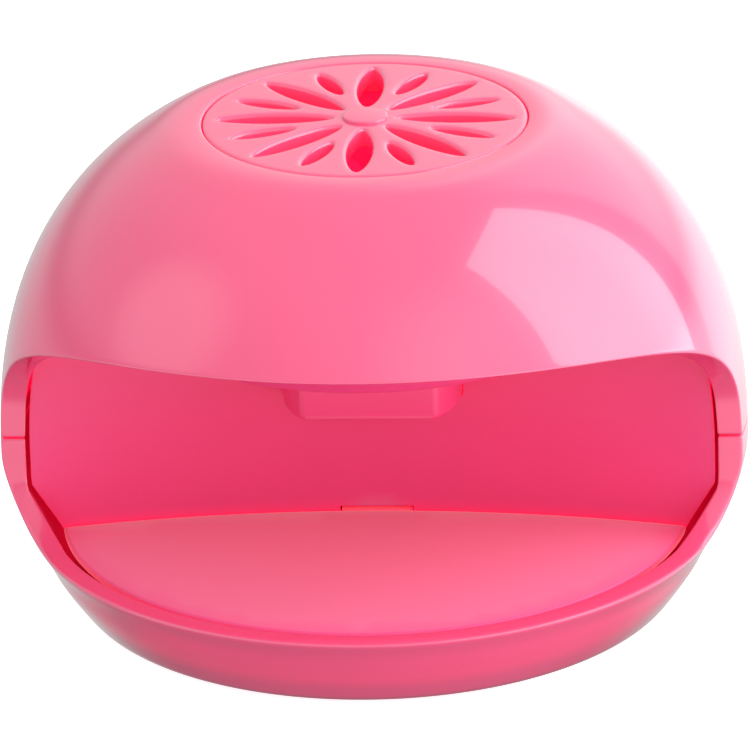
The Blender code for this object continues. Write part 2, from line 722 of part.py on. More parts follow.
def coil_points(radius, low, high, turns, steps_a_turn):
    """A coil whose first and last turns lie flat."""
    count = int(turns * steps_a_turn)
    points = []
    for i in range(count + 1):
        turn = i / steps_a_turn
        share = min(max((turn - 0.8) / (turns - 1.6), 0.0), 1.0)
        angle = 2 * math.pi * turn
        lift = 0.75 * min(turn, 0.8) / 0.8 + 0.75 * max(turn - turns + 0.8, 0.0) / 0.8
        height = low + lift + (high - low - 1.5) * share
        points.append((radius * math.cos(angle), radius * math.sin(angle), height))
    return points


def press_switch():
    """A small push switch under the plate."""
    body = box("switch_body", (-4.0, SWITCH_Y - 3.5, FLOOR_Z + GAP), (4.0, SWITCH_Y + 3.5, 9.2))
    combine(body, rod("switch_well", (0.0, SWITCH_Y, 6.0), 5.0, 2.1))
    paint(body, BLACK_PLASTIC, 0.4)
    top = PLATE_TOP - PLATE_THICKNESS - GAP
    plunger = rod("switch_plunger", (0.0, SWITCH_Y, 7.6), top - 7.6, 1.8, parent=PLUNGER_GUIDE)
    paint(plunger, WHITE_PLASTIC, 0.4)


# ---------------------------------------------------------------- fan and motor
def motor_block(name, radius, half_flat, low, high):
    """A cylinder with two flats, the shape of a small toy motor."""
    block = rod(name, (0.0, 0.0, low), high - low, radius, steps=32)
    flats = box(name + "_flats", (-radius - 1, -half_flat, low - 1), (radius + 1, half_flat, high + 1))
    return trim(block, flats)


def motor():
    can_low = MOTOR_Z + 3.4
    can_high = MOTOR_Z + 23.4
    can = motor_block("motor_can", MOTOR_RADIUS, MOTOR_HALF_FLAT, can_low, can_high)
    combine(can, motor_block("can_inside", MOTOR_RADIUS - 0.8, MOTOR_HALF_FLAT - 0.8, can_low - 1.0,
                             can_high - 0.8))
    join(can, rod("can_boss", (0.0, 0.0, can_high - 0.4), 1.9, 3.0))
    combine(can, rod("can_bore", (0.0, 0.0, can_high - 3.0), 6.0, SHAFT_RADIUS + 0.4, steps=12))
    paint(can, STEEL, 0.35, 1.0)

    cap = motor_block("motor_end_cap", MOTOR_RADIUS - 0.05, MOTOR_HALF_FLAT - 0.05, MOTOR_Z,
                      MOTOR_Z + 3.1)
    combine(cap, rod("cap_bore", (0.0, 0.0, MOTOR_Z - 1.0), 6.0, SHAFT_RADIUS + 0.3, steps=12))
    paint(cap, WHITE_PLASTIC, 0.45)

    for name, middle in (("left", 180), ("right", 0)):
        outer = arc((0.0, 0.0), 8.8, middle - 38, middle + 38, 9)
        inner = arc((0.0, 0.0), 7.1, middle + 38, middle - 38, 9)
        magnet = slab("motor_magnet_" + name, [outer + inner], 15.0, (0.0, 0.0, MOTOR_Z + 13.0))
        paint(magnet, MAGNET, 0.6)


def fan_rotor():
    """Shaft, armature and impeller, which turn together."""
    shaft_low = MOTOR_Z + 0.8
    shaft_high = MOTOR_Z + 36.0
    shaft = rod("motor_shaft", (0.0, 0.0, shaft_low), shaft_high - shaft_low, SHAFT_RADIUS,
                steps=12, parent=FAN_SPIN)
    paint(shaft, STEEL, 0.25, 1.0)

    low = MOTOR_Z + 6.0
    armature = turned("motor_armature", [(6.2, low + 12.0), (6.2, low), (SHAFT_RADIUS + GAP, low),
                                         (SHAFT_RADIUS + GAP, low + 12.0)],
                      closed=True, steps=24, parent=FAN_SPIN)
    for i in range(3):
        x, y = polar(6.4, 90 + 120 * i)
        groove = box(f"armature_groove_{i}", (x - 1.8, y - 0.7, low - 1.0), (x + 1.8, y + 0.7, low + 13.0),
                     turn=(0.0, 0.0, math.atan2(y, x)))
        combine(armature, groove)
    paint(armature, COPPER, 0.4, 1.0)

    hub_low = MOTOR_Z + 28.0
    hub_high = hub_low + 9.0
    bore = SHAFT_RADIUS + GAP
    bore_top = shaft_high + GAP
    profile = [(0.0, hub_high), (4.5, hub_high - 0.4), (6.6, hub_high - 1.8), (7.0, hub_high - 3.0),
               (7.0, hub_low), (bore, hub_low), (bore, bore_top), (0.0, bore_top)]
    impeller = turned("impeller", profile, steps=24, parent=FAN_SPIN)
    middle = hub_low + 4.0
    pitch = math.radians(34)
    for i in range(BLADES):
        angle = 360.0 * i / BLADES
        inner, outer = 6.2, BLADE_TIP
        x, y = polar((inner + outer) / 2, angle)
        half = Vector(((outer - inner) / 2, 4.4, 0.6))
        centre = Vector((x, y, middle))
        turn = Matrix.Rotation(math.radians(angle), 3, "Z") @ Matrix.Rotation(pitch, 3, "X")
        join(impeller, box(f"blade_{i}", centre - half, centre + half, turn=turn.to_euler()))
    paint(impeller, PINK_INSIDE, 0.4)


# ---------------------------------------------------------------- light
def uv_light():
    low = DISH_Z + PANEL + 1.6
    inner = DUCT_RADIUS + DUCT_WALL + GAP
    profile = [(39.2, low + 1.6), (39.2, low), (inner, low), (inner, low + 1.6)]
    board = turned("led_board", profile, closed=True, steps=32)
    paint(board, BOARD_GREEN, 0.5)
    flange = DISH_Z + PANEL + GAP
    tip = flange - 3.4
    for i, angle in enumerate(LED_ANGLES):
        x, y = polar(LED_RING_RADIUS, angle)
        shape = [(0.0, flange + 0.9), (3.2, flange + 0.9), (3.2, flange), (LED_RADIUS, flange),
                 (LED_RADIUS, tip + 2.2), (1.8, tip + 0.6), (0.0, tip)]
        led = turned(f"uv_led_{i + 1}", shape, (x, y, 0.0), steps=10)
        paint(led, LED_CLEAR, 0.1)


def control_board():
    """The small board that drives the LEDs, behind the back wall."""
    board = box("control_board", (16.5, 3.6, 24.0), (36.0, 5.0, 42.0))
    paint(board, BOARD_GREEN, 0.5)
    chip = box("driver_chip", (24.0, 5.3, 29.5), (30.0, 7.0, 34.5))
    paint(chip, BLACK_PLASTIC, 0.4)


# ---------------------------------------------------------------- batteries
def battery_box():
    """An open-bottomed tray over the battery door."""
    low = FLOOR_Z + GAP
    top = 16.2
    tray = box("battery_box", (-25.9, 6.9, low), (25.9, 41.1, top))
    combine(tray, box("tray_inside", (-24.9, 7.7, low - 2.0), (24.9, 40.3, top - 1.2)))
    return paint(tray, PINK_INSIDE, 0.5)


def battery_cells():
    """Three cells side by side, the middle one reversed, with their contacts."""
    plate_x = CELL_END_X + GAP
    for i in range(3):
        y = CELL_ROW_Y + CELL_PITCH * i
        side = -1 if i == 1 else 1
        length = CELL_LENGTH
        profile = [(0.0, length), (1.9, length), (1.9, length - 1.0), (CELL_RADIUS - 0.4, length - 1.0),
                   (CELL_RADIUS, length - 1.5), (CELL_RADIUS, 0.4), (CELL_RADIUS - 0.4, 0.0), (0.0, 0.0)]
        turn = (0.0, side * math.pi / 2, 0.0)
        start = side * (CELL_END_X - length)
        cell = turned(f"battery_cell_{i + 1}", profile, (start, y, CELL_Z), steps=20, turn=turn)
        paint(cell, CELL_GREY, 0.3, 0.6)
        far = -side * (plate_x - GAP - 0.3)
        near = start - side * 0.65
        points = []
        for k in range(17):
            angle = 2 * math.pi * k / 8
            points.append((far + (near - far) * k / 16, y + 3.0 * math.cos(angle),
                           CELL_Z + 3.0 * math.sin(angle)))
        contact = tube(f"contact_spring_{i + 1}", points, 0.3)
        paint(contact, STEEL, 0.3, 1.0)
    bridges = {"contact_bridge_left": (-1, 0, 1), "contact_tab_left": (-1, 2, 2),
               "contact_tab_right": (1, 0, 0), "contact_bridge_right": (1, 1, 2)}
    for name, (side, first, last) in bridges.items():
        xs = sorted((side * plate_x, side * (plate_x + 0.4)))
        low = (xs[0], CELL_ROW_Y + CELL_PITCH * first - 4.2, CELL_Z - 4.2)
        high = (xs[1], CELL_ROW_Y + CELL_PITCH * last + 4.2, CELL_Z + 4.2)
        paint(box(name, low, high), BRASS, 0.3, 1.0)


def battery_door():
    """The cover under the cells, on two stub pins at its front edge."""
    low = (-23.5, DOOR_HINGE_Y - 0.6, BASE_Z)
    high = (23.5, 39.6, BASE_Z + PLATE_THICKNESS)
    door = box("battery_door", low, high, parent=DOOR_HINGE)
    join(door, rod("door_pins", (-25.0, DOOR_HINGE_Y, DOOR_HINGE_Z - 0.05), 50.0, 0.6, "X", 12))
    combine(door, box("finger_notch", (-5.0, 38.0, 0.0), (5.0, 42.0, BASE_Z + 0.9)))
    for i, y in enumerate((18.6, 29.4)):
        join(door, box(f"door_rib_{i}", (-18.0, y - 0.5, high[2] - 0.3), (18.0, y + 0.5, high[2] + 0.7)))
    return paint(door, PINK, 0.3)


# ---------------------------------------------------------------- screws, feet, wires
def screw(name, place, head_radius, head_height, radius, length, head_up=False):
    """A pan-head screw. The place is the seat of its head; the shank runs away from it."""
    profile = [(0.0, 0.0), (head_radius * 0.75, 0.0), (head_radius, -head_height * 0.6),
               (head_radius, -head_height), (radius, -head_height), (radius, -head_height - length),
               (0.0, -head_height - length - radius)]
    turn = (0.0, 0.0, 0.0) if head_up else (math.pi, 0.0, 0.0)
    lift = head_height if head_up else -head_height
    x, y, z = place
    obj = turned(name, profile, (x, y, z + lift), steps=12, turn=turn)
    return paint(obj, STEEL, 0.3, 1.0)


def fasteners():
    for side, (x, y) in SHELL_SCREWS.items():
        screw("shell_screw_" + side, (x, y, 13.0 - GAP), 2.4, 1.8, 1.2, 28.0)
    for i in range(3):
        x, y = ceiling_post_place(i)
        screw(f"ceiling_screw_{i + 1}", (x, y, ROOF_Z - GAP), 2.0, 1.2, 0.85, 6.5)
    for side, x in (("left", -COVER_SCREW_X), ("right", COVER_SCREW_X)):
        screw("cover_screw_" + side, (x, 0.0, DISH_Z + PANEL + GAP), 1.7, 1.1, 0.75, 7.0, True)


def rubber_feet():
    for corner, (x, y) in FEET.items():
        top = BASE_Z + FOOT_RECESS - GAP
        profile = [(0.0, top), (FOOT_RADIUS, top), (FOOT_RADIUS, 0.4), (FOOT_RADIUS - 0.4, 0.0),
                   (0.0, 0.0)]
        paint(turned("foot_" + corner, profile, (x, y, 0.0), steps=20), RUBBER, 0.8)


def smooth_route(points, steps=3):
    """Points of a smooth curve through the route's own points."""
    route = [Vector(point) for point in points]
    route = [route[0] * 2 - route[1]] + route + [route[-1] * 2 - route[-2]]
    result = []
    for i in range(1, len(route) - 2):
        before, here, there, after = route[i - 1:i + 3]
        for k in range(steps):
            t = k / steps
            result.append(0.5 * (2 * here + (there - before) * t
                                 + (2 * before - 5 * here + 4 * there - after) * t * t
                                 + (3 * here - before - 3 * there + after) * t ** 3))
    result.append(route[-2])
    return result


WIRE_ROUTES = {
    "wire_battery_red": ("red", [(26.6, 13.2, 9.5), (28.5, 12.5, 12.0), (29.0, 9.0, 18.0),
                                 (28.0, 6.2, 22.0), (27.0, 5.8, 25.0)]),
    "wire_battery_black": ("black", [(-26.6, 34.8, 9.5), (-29.0, 32.0, 12.0), (-27.0, 24.0, 22.0),
                                     (-12.0, 21.0, 38.0), (-4.0, 18.5, 47.0), (-2.4, 13.0, 47.0)]),
    "wire_switch": ("red", [(-4.6, -28.5, 5.0), (-8.0, -24.0, 4.7), (-14.0, -14.0, 4.7),
                            (-16.0, -4.0, 5.0), (-16.0, 4.4, 6.0), (-10.0, 5.0, 20.0),
                            (4.0, 6.4, 26.0), (18.5, 6.0, 30.0)]),
    "wire_motor_red": ("red", [(27.0, 6.0, 38.0), (25.0, 10.0, 43.0), (14.0, 18.5, 46.5),
                               (4.0, 18.8, 47.5), (2.4, 13.0, 47.0)]),
    "wire_led_red": ("red", [(31.0, 6.0, 40.6), (24.0, 18.0, 45.5), (2.0, 27.0, 46.5),
                             (-11.0, 31.5, 49.0), (-11.4, 32.6, 54.9)]),
    "wire_led_black": ("black", [(34.5, 6.0, 40.6), (28.0, 21.0, 47.5), (2.0, 30.5, 48.4),
                                 (-11.5, 34.2, 51.0), (-12.6, 33.4, 54.9)]),
}


def internal_wires():
    colours = {"red": RED_WIRE, "black": BLACK_WIRE}
    for name, (colour, route) in WIRE_ROUTES.items():
        paint(tube(name, smooth_route(route), 0.5), colours[colour], 0.45)


clear_scene()
PARTS = new_collection("nail_lamp")
CUTTERS = new_collection("cutters")
AXIS = bpy.data.objects.new("lamp_axis", None)
AXIS.location = (0.0, AXIS_Y * MM, 0.0)
PARTS.objects.link(AXIS)
PLATE_HINGE = new_empty("plate_hinge", AXIS, (0.0, HINGE_Y, HINGE_Z))
PLUNGER_GUIDE = new_empty("plunger_guide", AXIS, (0.0, SWITCH_Y, FLOOR_Z))
FAN_SPIN = new_empty("fan_spin", AXIS, (0.0, 0.0, MOTOR_Z))
DOOR_HINGE = new_empty("door_hinge", AXIS, (0.0, DOOR_HINGE_Y, DOOR_HINGE_Z))

upper_shell()
lower_shell()
top_grille()
back_wall()
ceiling_panel()
motor_cover()
fan_housing()
press_plate()
plate_hinge_pin()
plate_springs()
press_switch()
motor()
fan_rotor()
uv_light()
control_board()
battery_box()
battery_cells()
battery_door()
fasteners()
rubber_feet()
internal_wires()
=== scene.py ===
"""Looks of a dome-shaped nail lamp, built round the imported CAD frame.

Lengths are in millimetres in the lamp's own frame: the dome's axis is x = y = 0 and the
table is z = 0. new_piece() turns them into metres and moves them into the CAD's frame.
"""

import json
import math

import bmesh
import bpy
import numpy as np
from mathutils import Matrix, Vector
from mathutils.geometry import delaunay_2d_cdt


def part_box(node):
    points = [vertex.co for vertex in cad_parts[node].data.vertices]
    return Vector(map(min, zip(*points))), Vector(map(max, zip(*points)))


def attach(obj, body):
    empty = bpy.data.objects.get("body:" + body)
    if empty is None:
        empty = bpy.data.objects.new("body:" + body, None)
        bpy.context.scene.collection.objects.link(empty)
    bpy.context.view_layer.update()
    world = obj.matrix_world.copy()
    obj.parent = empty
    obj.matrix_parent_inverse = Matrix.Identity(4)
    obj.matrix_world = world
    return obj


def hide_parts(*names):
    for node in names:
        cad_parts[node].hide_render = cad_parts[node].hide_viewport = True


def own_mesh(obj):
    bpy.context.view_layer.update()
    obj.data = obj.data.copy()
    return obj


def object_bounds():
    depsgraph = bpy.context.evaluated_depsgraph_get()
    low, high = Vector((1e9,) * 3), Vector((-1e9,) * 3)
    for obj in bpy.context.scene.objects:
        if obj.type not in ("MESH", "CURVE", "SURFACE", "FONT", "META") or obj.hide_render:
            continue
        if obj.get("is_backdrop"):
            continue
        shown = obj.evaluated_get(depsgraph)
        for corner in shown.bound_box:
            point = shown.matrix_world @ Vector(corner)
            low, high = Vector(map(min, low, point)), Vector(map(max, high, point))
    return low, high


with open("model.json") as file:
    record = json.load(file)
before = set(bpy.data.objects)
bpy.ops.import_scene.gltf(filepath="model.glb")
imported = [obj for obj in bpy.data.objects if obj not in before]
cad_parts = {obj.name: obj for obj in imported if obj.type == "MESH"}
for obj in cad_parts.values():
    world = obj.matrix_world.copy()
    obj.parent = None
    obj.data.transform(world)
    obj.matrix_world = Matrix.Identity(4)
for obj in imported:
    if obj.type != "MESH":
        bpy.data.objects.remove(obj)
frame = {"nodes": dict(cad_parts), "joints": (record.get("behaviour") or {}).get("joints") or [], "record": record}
cad_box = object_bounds()

MM = 0.001


# ---------------------------------------------------------------- sizes from the frame
def joint_of(name):
    return next(j for j in frame["joints"] if j["name"] == name)


def joint_place(name):
    """Where a joint is, in millimetres in the CAD's frame."""
    return Vector(joint_of(name)["pos_m"]) / MM


AXIS_Y = joint_place("fan_spin").y


def span(node):
    """Lowest and highest corner of a CAD node in the lamp's frame, in millimetres."""
    low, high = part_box(node)
    shift = Vector((0.0, AXIS_Y, 0.0))
    return low / MM - shift, high / MM - shift


def middle_of(node):
    """Middle of a CAD node's box in the lamp's frame, in millimetres."""
    low, high = span(node)
    return (low + high) / 2


UPPER_LOW, UPPER_HIGH = span("upper_shell")
LOWER_LOW, LOWER_HIGH = span("lower_shell")
GRILLE_LOW, GRILLE_HIGH = span("top_grille")
PLATE_HIGH = span("press_plate")[1]
WALL_LOW, WALL_HIGH = span("back_wall")
PANEL_LOW, PANEL_HIGH = span("ceiling_panel")
POD_LOW, POD_HIGH = span("motor_cover")
DOOR_LOW, DOOR_HIGH = span("battery_door")
HUB_HIGH = span("impeller")[1]

DOME_RADIUS = LOWER_HIGH.x
SEAM_Z = (UPPER_LOW.z + LOWER_HIGH.z) / 2
GAP = UPPER_LOW.z - LOWER_HIGH.z
SEAM = GAP / 2
GRILLE_TOP = UPPER_HIGH.z
EQUATOR_Z = GRILLE_TOP - 59.0
SEAM_RISE = SEAM_Z - EQUATOR_Z
GRILLE_RADIUS = GRILLE_HIGH.x
BASE_Z = LOWER_LOW.z
PLATE_RADIUS = PLATE_HIGH.x
PLATE_TOP = PLATE_HIGH.z
HINGE = joint_place("press_plate_hinge") - Vector((0.0, AXIS_Y, 0.0))
DOOR_HINGE = joint_place("battery_door_hinge") - Vector((0.0, AXIS_Y, 0.0))
DISH_Z = PANEL_LOW.z
POD_Z = POD_LOW.z
POD_RADIUS = POD_HIGH.x
HUB_HIGH_RADIUS = HUB_HIGH.x - 0.3

# ---------------------------------------------------------------- the shells' curves
DOME_RISE = 65.2         # height the dome's curve would reach above the widest line
DOME_POWER = 2.345       # exponent of the dome's super-ellipse
DOME_TOP = 57.0          # where the dome's curve ends, above the widest line
BOWL_DROP = 62.8         # depth the bowl's curve would reach below the widest line
BOWL_POWER = 1.51
BOWL_LOW = 25.7          # where the bowl's curve ends, below the widest line
WALL = 2.6               # thickness of the shells
LIP = 4.2                # thickness of the shells round the mouth
FLOOR_Z = 3.4            # inside of the base
MOUTH_BACK_Y = -10.5
MOUTH_CORNER = 11.0
RIM_Z = EQUATOR_Z - 13.4
RIM_INNER_RADIUS = 57.0
KINK_Z = EQUATOR_Z - 5.6  # where the lip's inner face turns in towards the rim
WALL_FACE_Y = -0.6
WALL_BEND = 210.0
WALL_THICKNESS = 2.0
DISH_RADIUS = 41.0
ROOF_Z = EQUATOR_Z + 34.0
ROOF_RADIUS = PANEL_HIGH.x
PANEL = 1.8              # thickness of the ceiling panel
LED_RING_RADIUS = 35.0
LED_ANGLES = (-160, -132, -104, -76, -48, -20)
COVER_SCREW_X = 13.9
SHELL_SCREWS = ((-42.0, 6.0), (42.0, 6.0), (0.0, 45.0))
FEET = ("front_left", "front_right", "rear_left", "rear_right")
SPRINGS = ("plate_spring_left", "plate_spring_right")
LEDGE_RADIUS = GRILLE_RADIUS - 1.6
SEAT_RADIUS = GRILLE_RADIUS + GAP


def dome_curve(low, high, inset, count=160):
    """Profile (radius, z) of the dome, moved in by inset, between two heights."""
    rise = DOME_RISE - inset
    turn = np.linspace((low / rise) ** (DOME_POWER / 2), (high / rise) ** (DOME_POWER / 2), count)
    height = rise * np.minimum(turn, 1.0) ** (2 / DOME_POWER)
    share = (height / rise) ** DOME_POWER
    radius = (DOME_RADIUS - inset) * (1.0 - share) ** (1.0 / DOME_POWER)
    return np.stack([radius, EQUATOR_Z + height], axis=1)


def bowl_curve(low, high, inset, count=120):
    """Profile (radius, z) of the bowl, moved in by inset, between two depths."""
    drop = np.linspace(low, high, count)
    share = (drop / BOWL_DROP) ** BOWL_POWER
    radius = DOME_RADIUS * (1.0 - share) ** (1.0 / BOWL_POWER) - inset
    return np.stack([radius, EQUATOR_Z - drop], axis=1)


def bezier(*corners, count=24):
    """Points on the Bezier curve of three or four control points."""
    t = np.linspace(0.0, 1.0, count)[:, None]
    points = [np.array(corner, float)[None, :] + 0.0 * t for corner in corners]
    while len(points) > 1:
        points = [a + (b - a) * t for a, b in zip(points, points[1:])]
    return points[0]


def arc(centre, radius, start, end, count):
    """Points on an arc between two angles in degrees."""
    angle = np.radians(np.linspace(start, end, count))
    return np.stack([centre[0] + radius * np.cos(angle), centre[1] + radius * np.sin(angle)], axis=1)


def reach(points):
    """Distance along a polyline to each of its points."""
    steps = np.linalg.norm(np.diff(points, axis=0), axis=1)
    return np.concatenate(([0.0], np.cumsum(steps)))


def along(points, distances):
    """Points at the given distances along a polyline."""
    lengths = reach(points)
    return np.stack([np.interp(distances, lengths, points[:, k]) for k in range(points.shape[1])], axis=1)


def polar(radius, degrees):
    return radius * math.cos(math.radians(degrees)), radius * math.sin(math.radians(degrees))


def upper_mouth():
    """Side view (y, z) of the mouth's edge above the parting line, from the seam forward."""
    straight_top = EQUATOR_Z + 9.0
    side = np.array([(MOUTH_BACK_Y, SEAM_Z + SEAM), (MOUTH_BACK_Y, straight_top)])
    brow = bezier((MOUTH_BACK_Y, straight_top), (MOUTH_BACK_Y + 0.3, EQUATOR_Z + 21.5),
                  (-32.0, EQUATOR_Z + 31.0), (-64.0, EQUATOR_Z + 33.9), count=300)
    return np.concatenate([side, brow[1:]])


def lower_mouth():
    """Side view (y, z) of the mouth's edge below the parting line, from the seam forward."""
    centre = (MOUTH_BACK_Y - MOUTH_CORNER, RIM_Z + MOUTH_CORNER)
    corner = arc(centre, MOUTH_CORNER, 0.0, -90.0, 60)
    front = np.array([(-DOME_RADIUS - 5.0, RIM_Z)])
    return np.concatenate([[(MOUTH_BACK_Y, SEAM_Z - SEAM)], corner, front])


def wall_y(x, offset=0.0):
    """Front of the back wall at a distance from the centre line, moved back by offset."""
    return WALL_FACE_Y - WALL_BEND + np.sqrt((WALL_BEND + offset) ** 2 - np.square(x))


# ---------------------------------------------------------------- pieces and meshes
def soften(mesh):
    """Shade a mesh smooth, with its edges above 35 degrees kept sharp."""
    mesh.shade_smooth()
    mesh.set_sharp_from_angle(angle=math.radians(35.0))


def linked(name, shape):
    """An object in the scene from a bmesh, which is then freed."""
    mesh = bpy.data.meshes.new(name)
    shape.to_mesh(mesh)
    shape.free()
    soften(mesh)
    obj = bpy.data.objects.new(name, mesh)
    bpy.context.scene.collection.objects.link(obj)
    return obj


def new_piece(name, points, faces):
    """A mesh object from points in the lamp's frame."""
    shape = bmesh.new()
    verts = [shape.verts.new((p[0] * MM, (p[1] + AXIS_Y) * MM, p[2] * MM)) for p in points]
    for face in faces:
        shape.faces.new([verts[i] for i in face])
    bmesh.ops.recalc_face_normals(shape, faces=shape.faces)
    return linked(name, shape)


def dress(obj, node, slot, body="lamp_body", material=None):
    """Give a piece the material of its slot, hang it on its body and hide the CAD node it stands for."""
    obj.data.materials.clear()
    obj.data.materials.append(MATERIALS[material or slot])
    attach(obj, body)
    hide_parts(node)


def cut(obj, tool, operation="DIFFERENCE"):
    """Apply a boolean with a tool, which is then removed."""
    modifier = obj.modifiers.new("cut", "BOOLEAN")
    modifier.object = tool
    modifier.operation = operation
    modifier.solver = "EXACT"
    bpy.context.view_layer.update()
    evaluated = obj.evaluated_get(bpy.context.evaluated_depsgraph_get())
    mesh = bpy.data.meshes.new_from_object(evaluated)
    obj.modifiers.clear()
    obj.data = mesh
    soften(mesh)
    bpy.data.objects.remove(tool, do_unlink=True)


def together(name, pieces):
    """Several pieces as one object."""
    shape = bmesh.new()
    for piece in pieces:
        shape.from_mesh(piece.data)
        bpy.data.objects.remove(piece, do_unlink=True)
    return linked(name, shape)


def turned(name, profile, steps=96, matrix=None, closed=False):
    """A profile (radius, z) turned about Z. Without closed, its ends lie on the axis."""
    profile = [tuple(point) for point in profile]
    points, faces, rings = [], [], []
    for radius, height in profile:
        if radius < 1e-6:
            rings.append([len(points)])
            points.append(Vector((0.0, 0.0, height)))
            continue
        rings.append(list(range(len(points), len(points) + steps)))
        for i in range(steps):
            x, y = polar(radius, 360.0 * i / steps)
            points.append(Vector((x, y, height)))
    pairs = list(zip(rings, rings[1:]))
    if closed:
        pairs.append((rings[-1], rings[0]))
    for a, b in pairs:
        for i in range(steps):
            k = (i + 1) % steps
            corners = [a[i % len(a)], a[k % len(a)], b[k % len(b)], b[i % len(b)]]
            face = list(dict.fromkeys(corners))
            if len(face) > 2:
                faces.append(face)
    if matrix is not None:
        points = [matrix @ point for point in points]
    return new_piece(name, points, faces)


def rounded(profile, radii, steps=4):
    """A polyline profile with its inner corners rounded; one radius for each point."""
    result = []
    for i, (point, radius) in enumerate(zip(profile, radii)):
        here = np.array(point, float)
        if radius <= 0 or i in (0, len(profile) - 1):
            result.append(tuple(here))
            continue
        before = np.array(profile[i - 1], float) - here
        after = np.array(profile[i + 1], float) - here
        start = here + before / np.linalg.norm(before) * radius
        end = here + after / np.linalg.norm(after) * radius
        result += [tuple(p) for p in bezier(start, here, end, count=steps + 1)]
    return result


def rod(name, start, length, radius, axis="Z", edge=0.15):
    """A cylinder with softened edges from a point along an axis."""
    edge = min(edge, radius / 2, length / 3)
    profile = rounded([(0.0, length), (radius, length), (radius, 0.0), (0.0, 0.0)],
                      [0.0, edge, edge, 0.0], 2)
    turn = {"Z": Matrix(), "X": Matrix.Rotation(math.pi / 2, 4, "Y"),
            "Y": Matrix.Rotation(-math.pi / 2, 4, "X")}[axis]
    return turned(name, profile, 40, Matrix.Translation(start) @ turn)


def block(name, low, high, edge=0.25, matrix=None, turn_last=False):
    """A block between two corners, with rounded edges.

    The matrix is applied about the block's middle, or after it is placed with turn_last."""
    shape = bmesh.new()
    bmesh.ops.create_cube(shape, size=1.0)
    size = Vector(high) - Vector(low)
    bmesh.ops.scale(shape, vec=size, verts=shape.verts)
    if edge > 0:
        bmesh.ops.bevel(shape, geom=shape.edges, offset=edge, segments=3, profile=0.5, affect="EDGES")
    place = Matrix.Translation((Vector(low) + Vector(high)) / 2)
    matrix = matrix or Matrix()
    bmesh.ops.transform(shape, matrix=matrix @ place if turn_last else place @ matrix, verts=shape.verts)
    points = [v.co.copy() for v in shape.verts]
    faces = [[v.index for v in f.verts] for f in shape.faces]
    shape.free()
    return new_piece(name, points, faces)


def pipe(name, route, radius, sides=12):
    """A round wire through the route's points, with flat ends."""
    route = [Vector(point) for point in route]
    normal = (route[1] - route[0]).orthogonal().normalized()
    points, faces = [], []
    for i, here in enumerate(route):
        tangent = (route[min(i + 1, len(route) - 1)] - route[max(i - 1, 0)]).normalized()
        normal = (normal - tangent * normal.dot(tangent)).normalized()
        across = tangent.cross(normal)
        for k in range(sides):
            angle = 2 * math.pi * k / sides
            points.append(here + (normal * math.cos(angle) + across * math.sin(angle)) * radius)
    for i in range(len(route) - 1):
        for k in range(sides):
            n = (k + 1) % sides
            a, b = i * sides, (i + 1) * sides
            faces.append([a + k, a + n, b + n, b + k])
    faces.append(list(range(sides)))
    faces.append(list(range(len(points) - sides, len(points))))
    return new_piece(name, points, faces)


# ---------------------------------------------------------------- flat pieces from outlines
def inside(points, loop):
    """Which points lie inside a closed outline."""
    x, y = points[:, 0], points[:, 1]
    result = np.zeros(len(points), bool)
    for (ax, ay), (bx, by) in zip(loop, np.roll(loop, -1, axis=0)):
        crosses = (ay > y) != (by > y)
        slope = (bx - ax) / (by - ay if by != ay else 1e-12)
        result ^= crosses & (x < ax + (y - ay) * slope)
    return result


def grown(loop, distance):
    """A closed outline (counter-clockwise) moved outwards along its corners' normals."""
    back = loop - np.roll(loop, 1, axis=0)
    ahead = np.roll(loop, -1, axis=0) - loop
    back /= np.linalg.norm(back, axis=1)[:, None]
    ahead /= np.linalg.norm(ahead, axis=1)[:, None]
    normal_a = np.stack([back[:, 1], -back[:, 0]], axis=1)
    normal_b = np.stack([ahead[:, 1], -ahead[:, 0]], axis=1)
    middle = normal_a + normal_b
    share = 2.0 / np.maximum(np.sum(middle * middle, axis=1), 0.35)
    return loop + middle * (distance * share)[:, None]


def sheet_fill(loops, holes, spacing):
    """Triangles that fill the outer loop less the holes, with points spread inside."""
    outer = loops[0]
    low, high = outer.min(axis=0), outer.max(axis=0)
    xs = np.arange(low[0] + spacing / 2, high[0], spacing)
    ys = np.arange(low[1] + spacing / 2, high[1], spacing * 0.87)
    rows = [np.stack([xs + (spacing / 2 if k % 2 else 0.0), np.full(len(xs), y)], axis=1)
            for k, y in enumerate(ys)]
    spread = np.concatenate(rows)
    keep = inside(spread, outer)
    for hole in holes:
        keep &= ~inside(spread, hole)
    spread = spread[keep]
    edge_points = np.concatenate(loops)
    away = np.ones(len(spread), bool)
    for start in range(0, len(spread), 2000):
        part = spread[start:start + 2000]
        gaps = np.linalg.norm(part[:, None, :] - edge_points[None, :, :], axis=2).min(axis=1)
        away[start:start + 2000] = gaps > spacing * 0.5
    spread = spread[away]
    edges = []
    base = 0
    for loop in loops:
        count = len(loop)
        edges += [(base + i, base + (i + 1) % count) for i in range(count)]
        base += count
    coords = [Vector(point) for point in np.concatenate([edge_points, spread])]
    made = delaunay_2d_cdt(coords, edges, [], 0, 1e-7)
    places = np.array([tuple(v) for v in made[0]])
    triangles = np.array([face for face in made[2]])
    middles = places[triangles].mean(axis=1)
    keep = inside(middles, outer)
    for hole in holes:
        keep &= ~inside(middles, hole)
    original = {ids[0]: k for k, ids in enumerate(made[3]) if ids}
    return places, triangles[keep], original


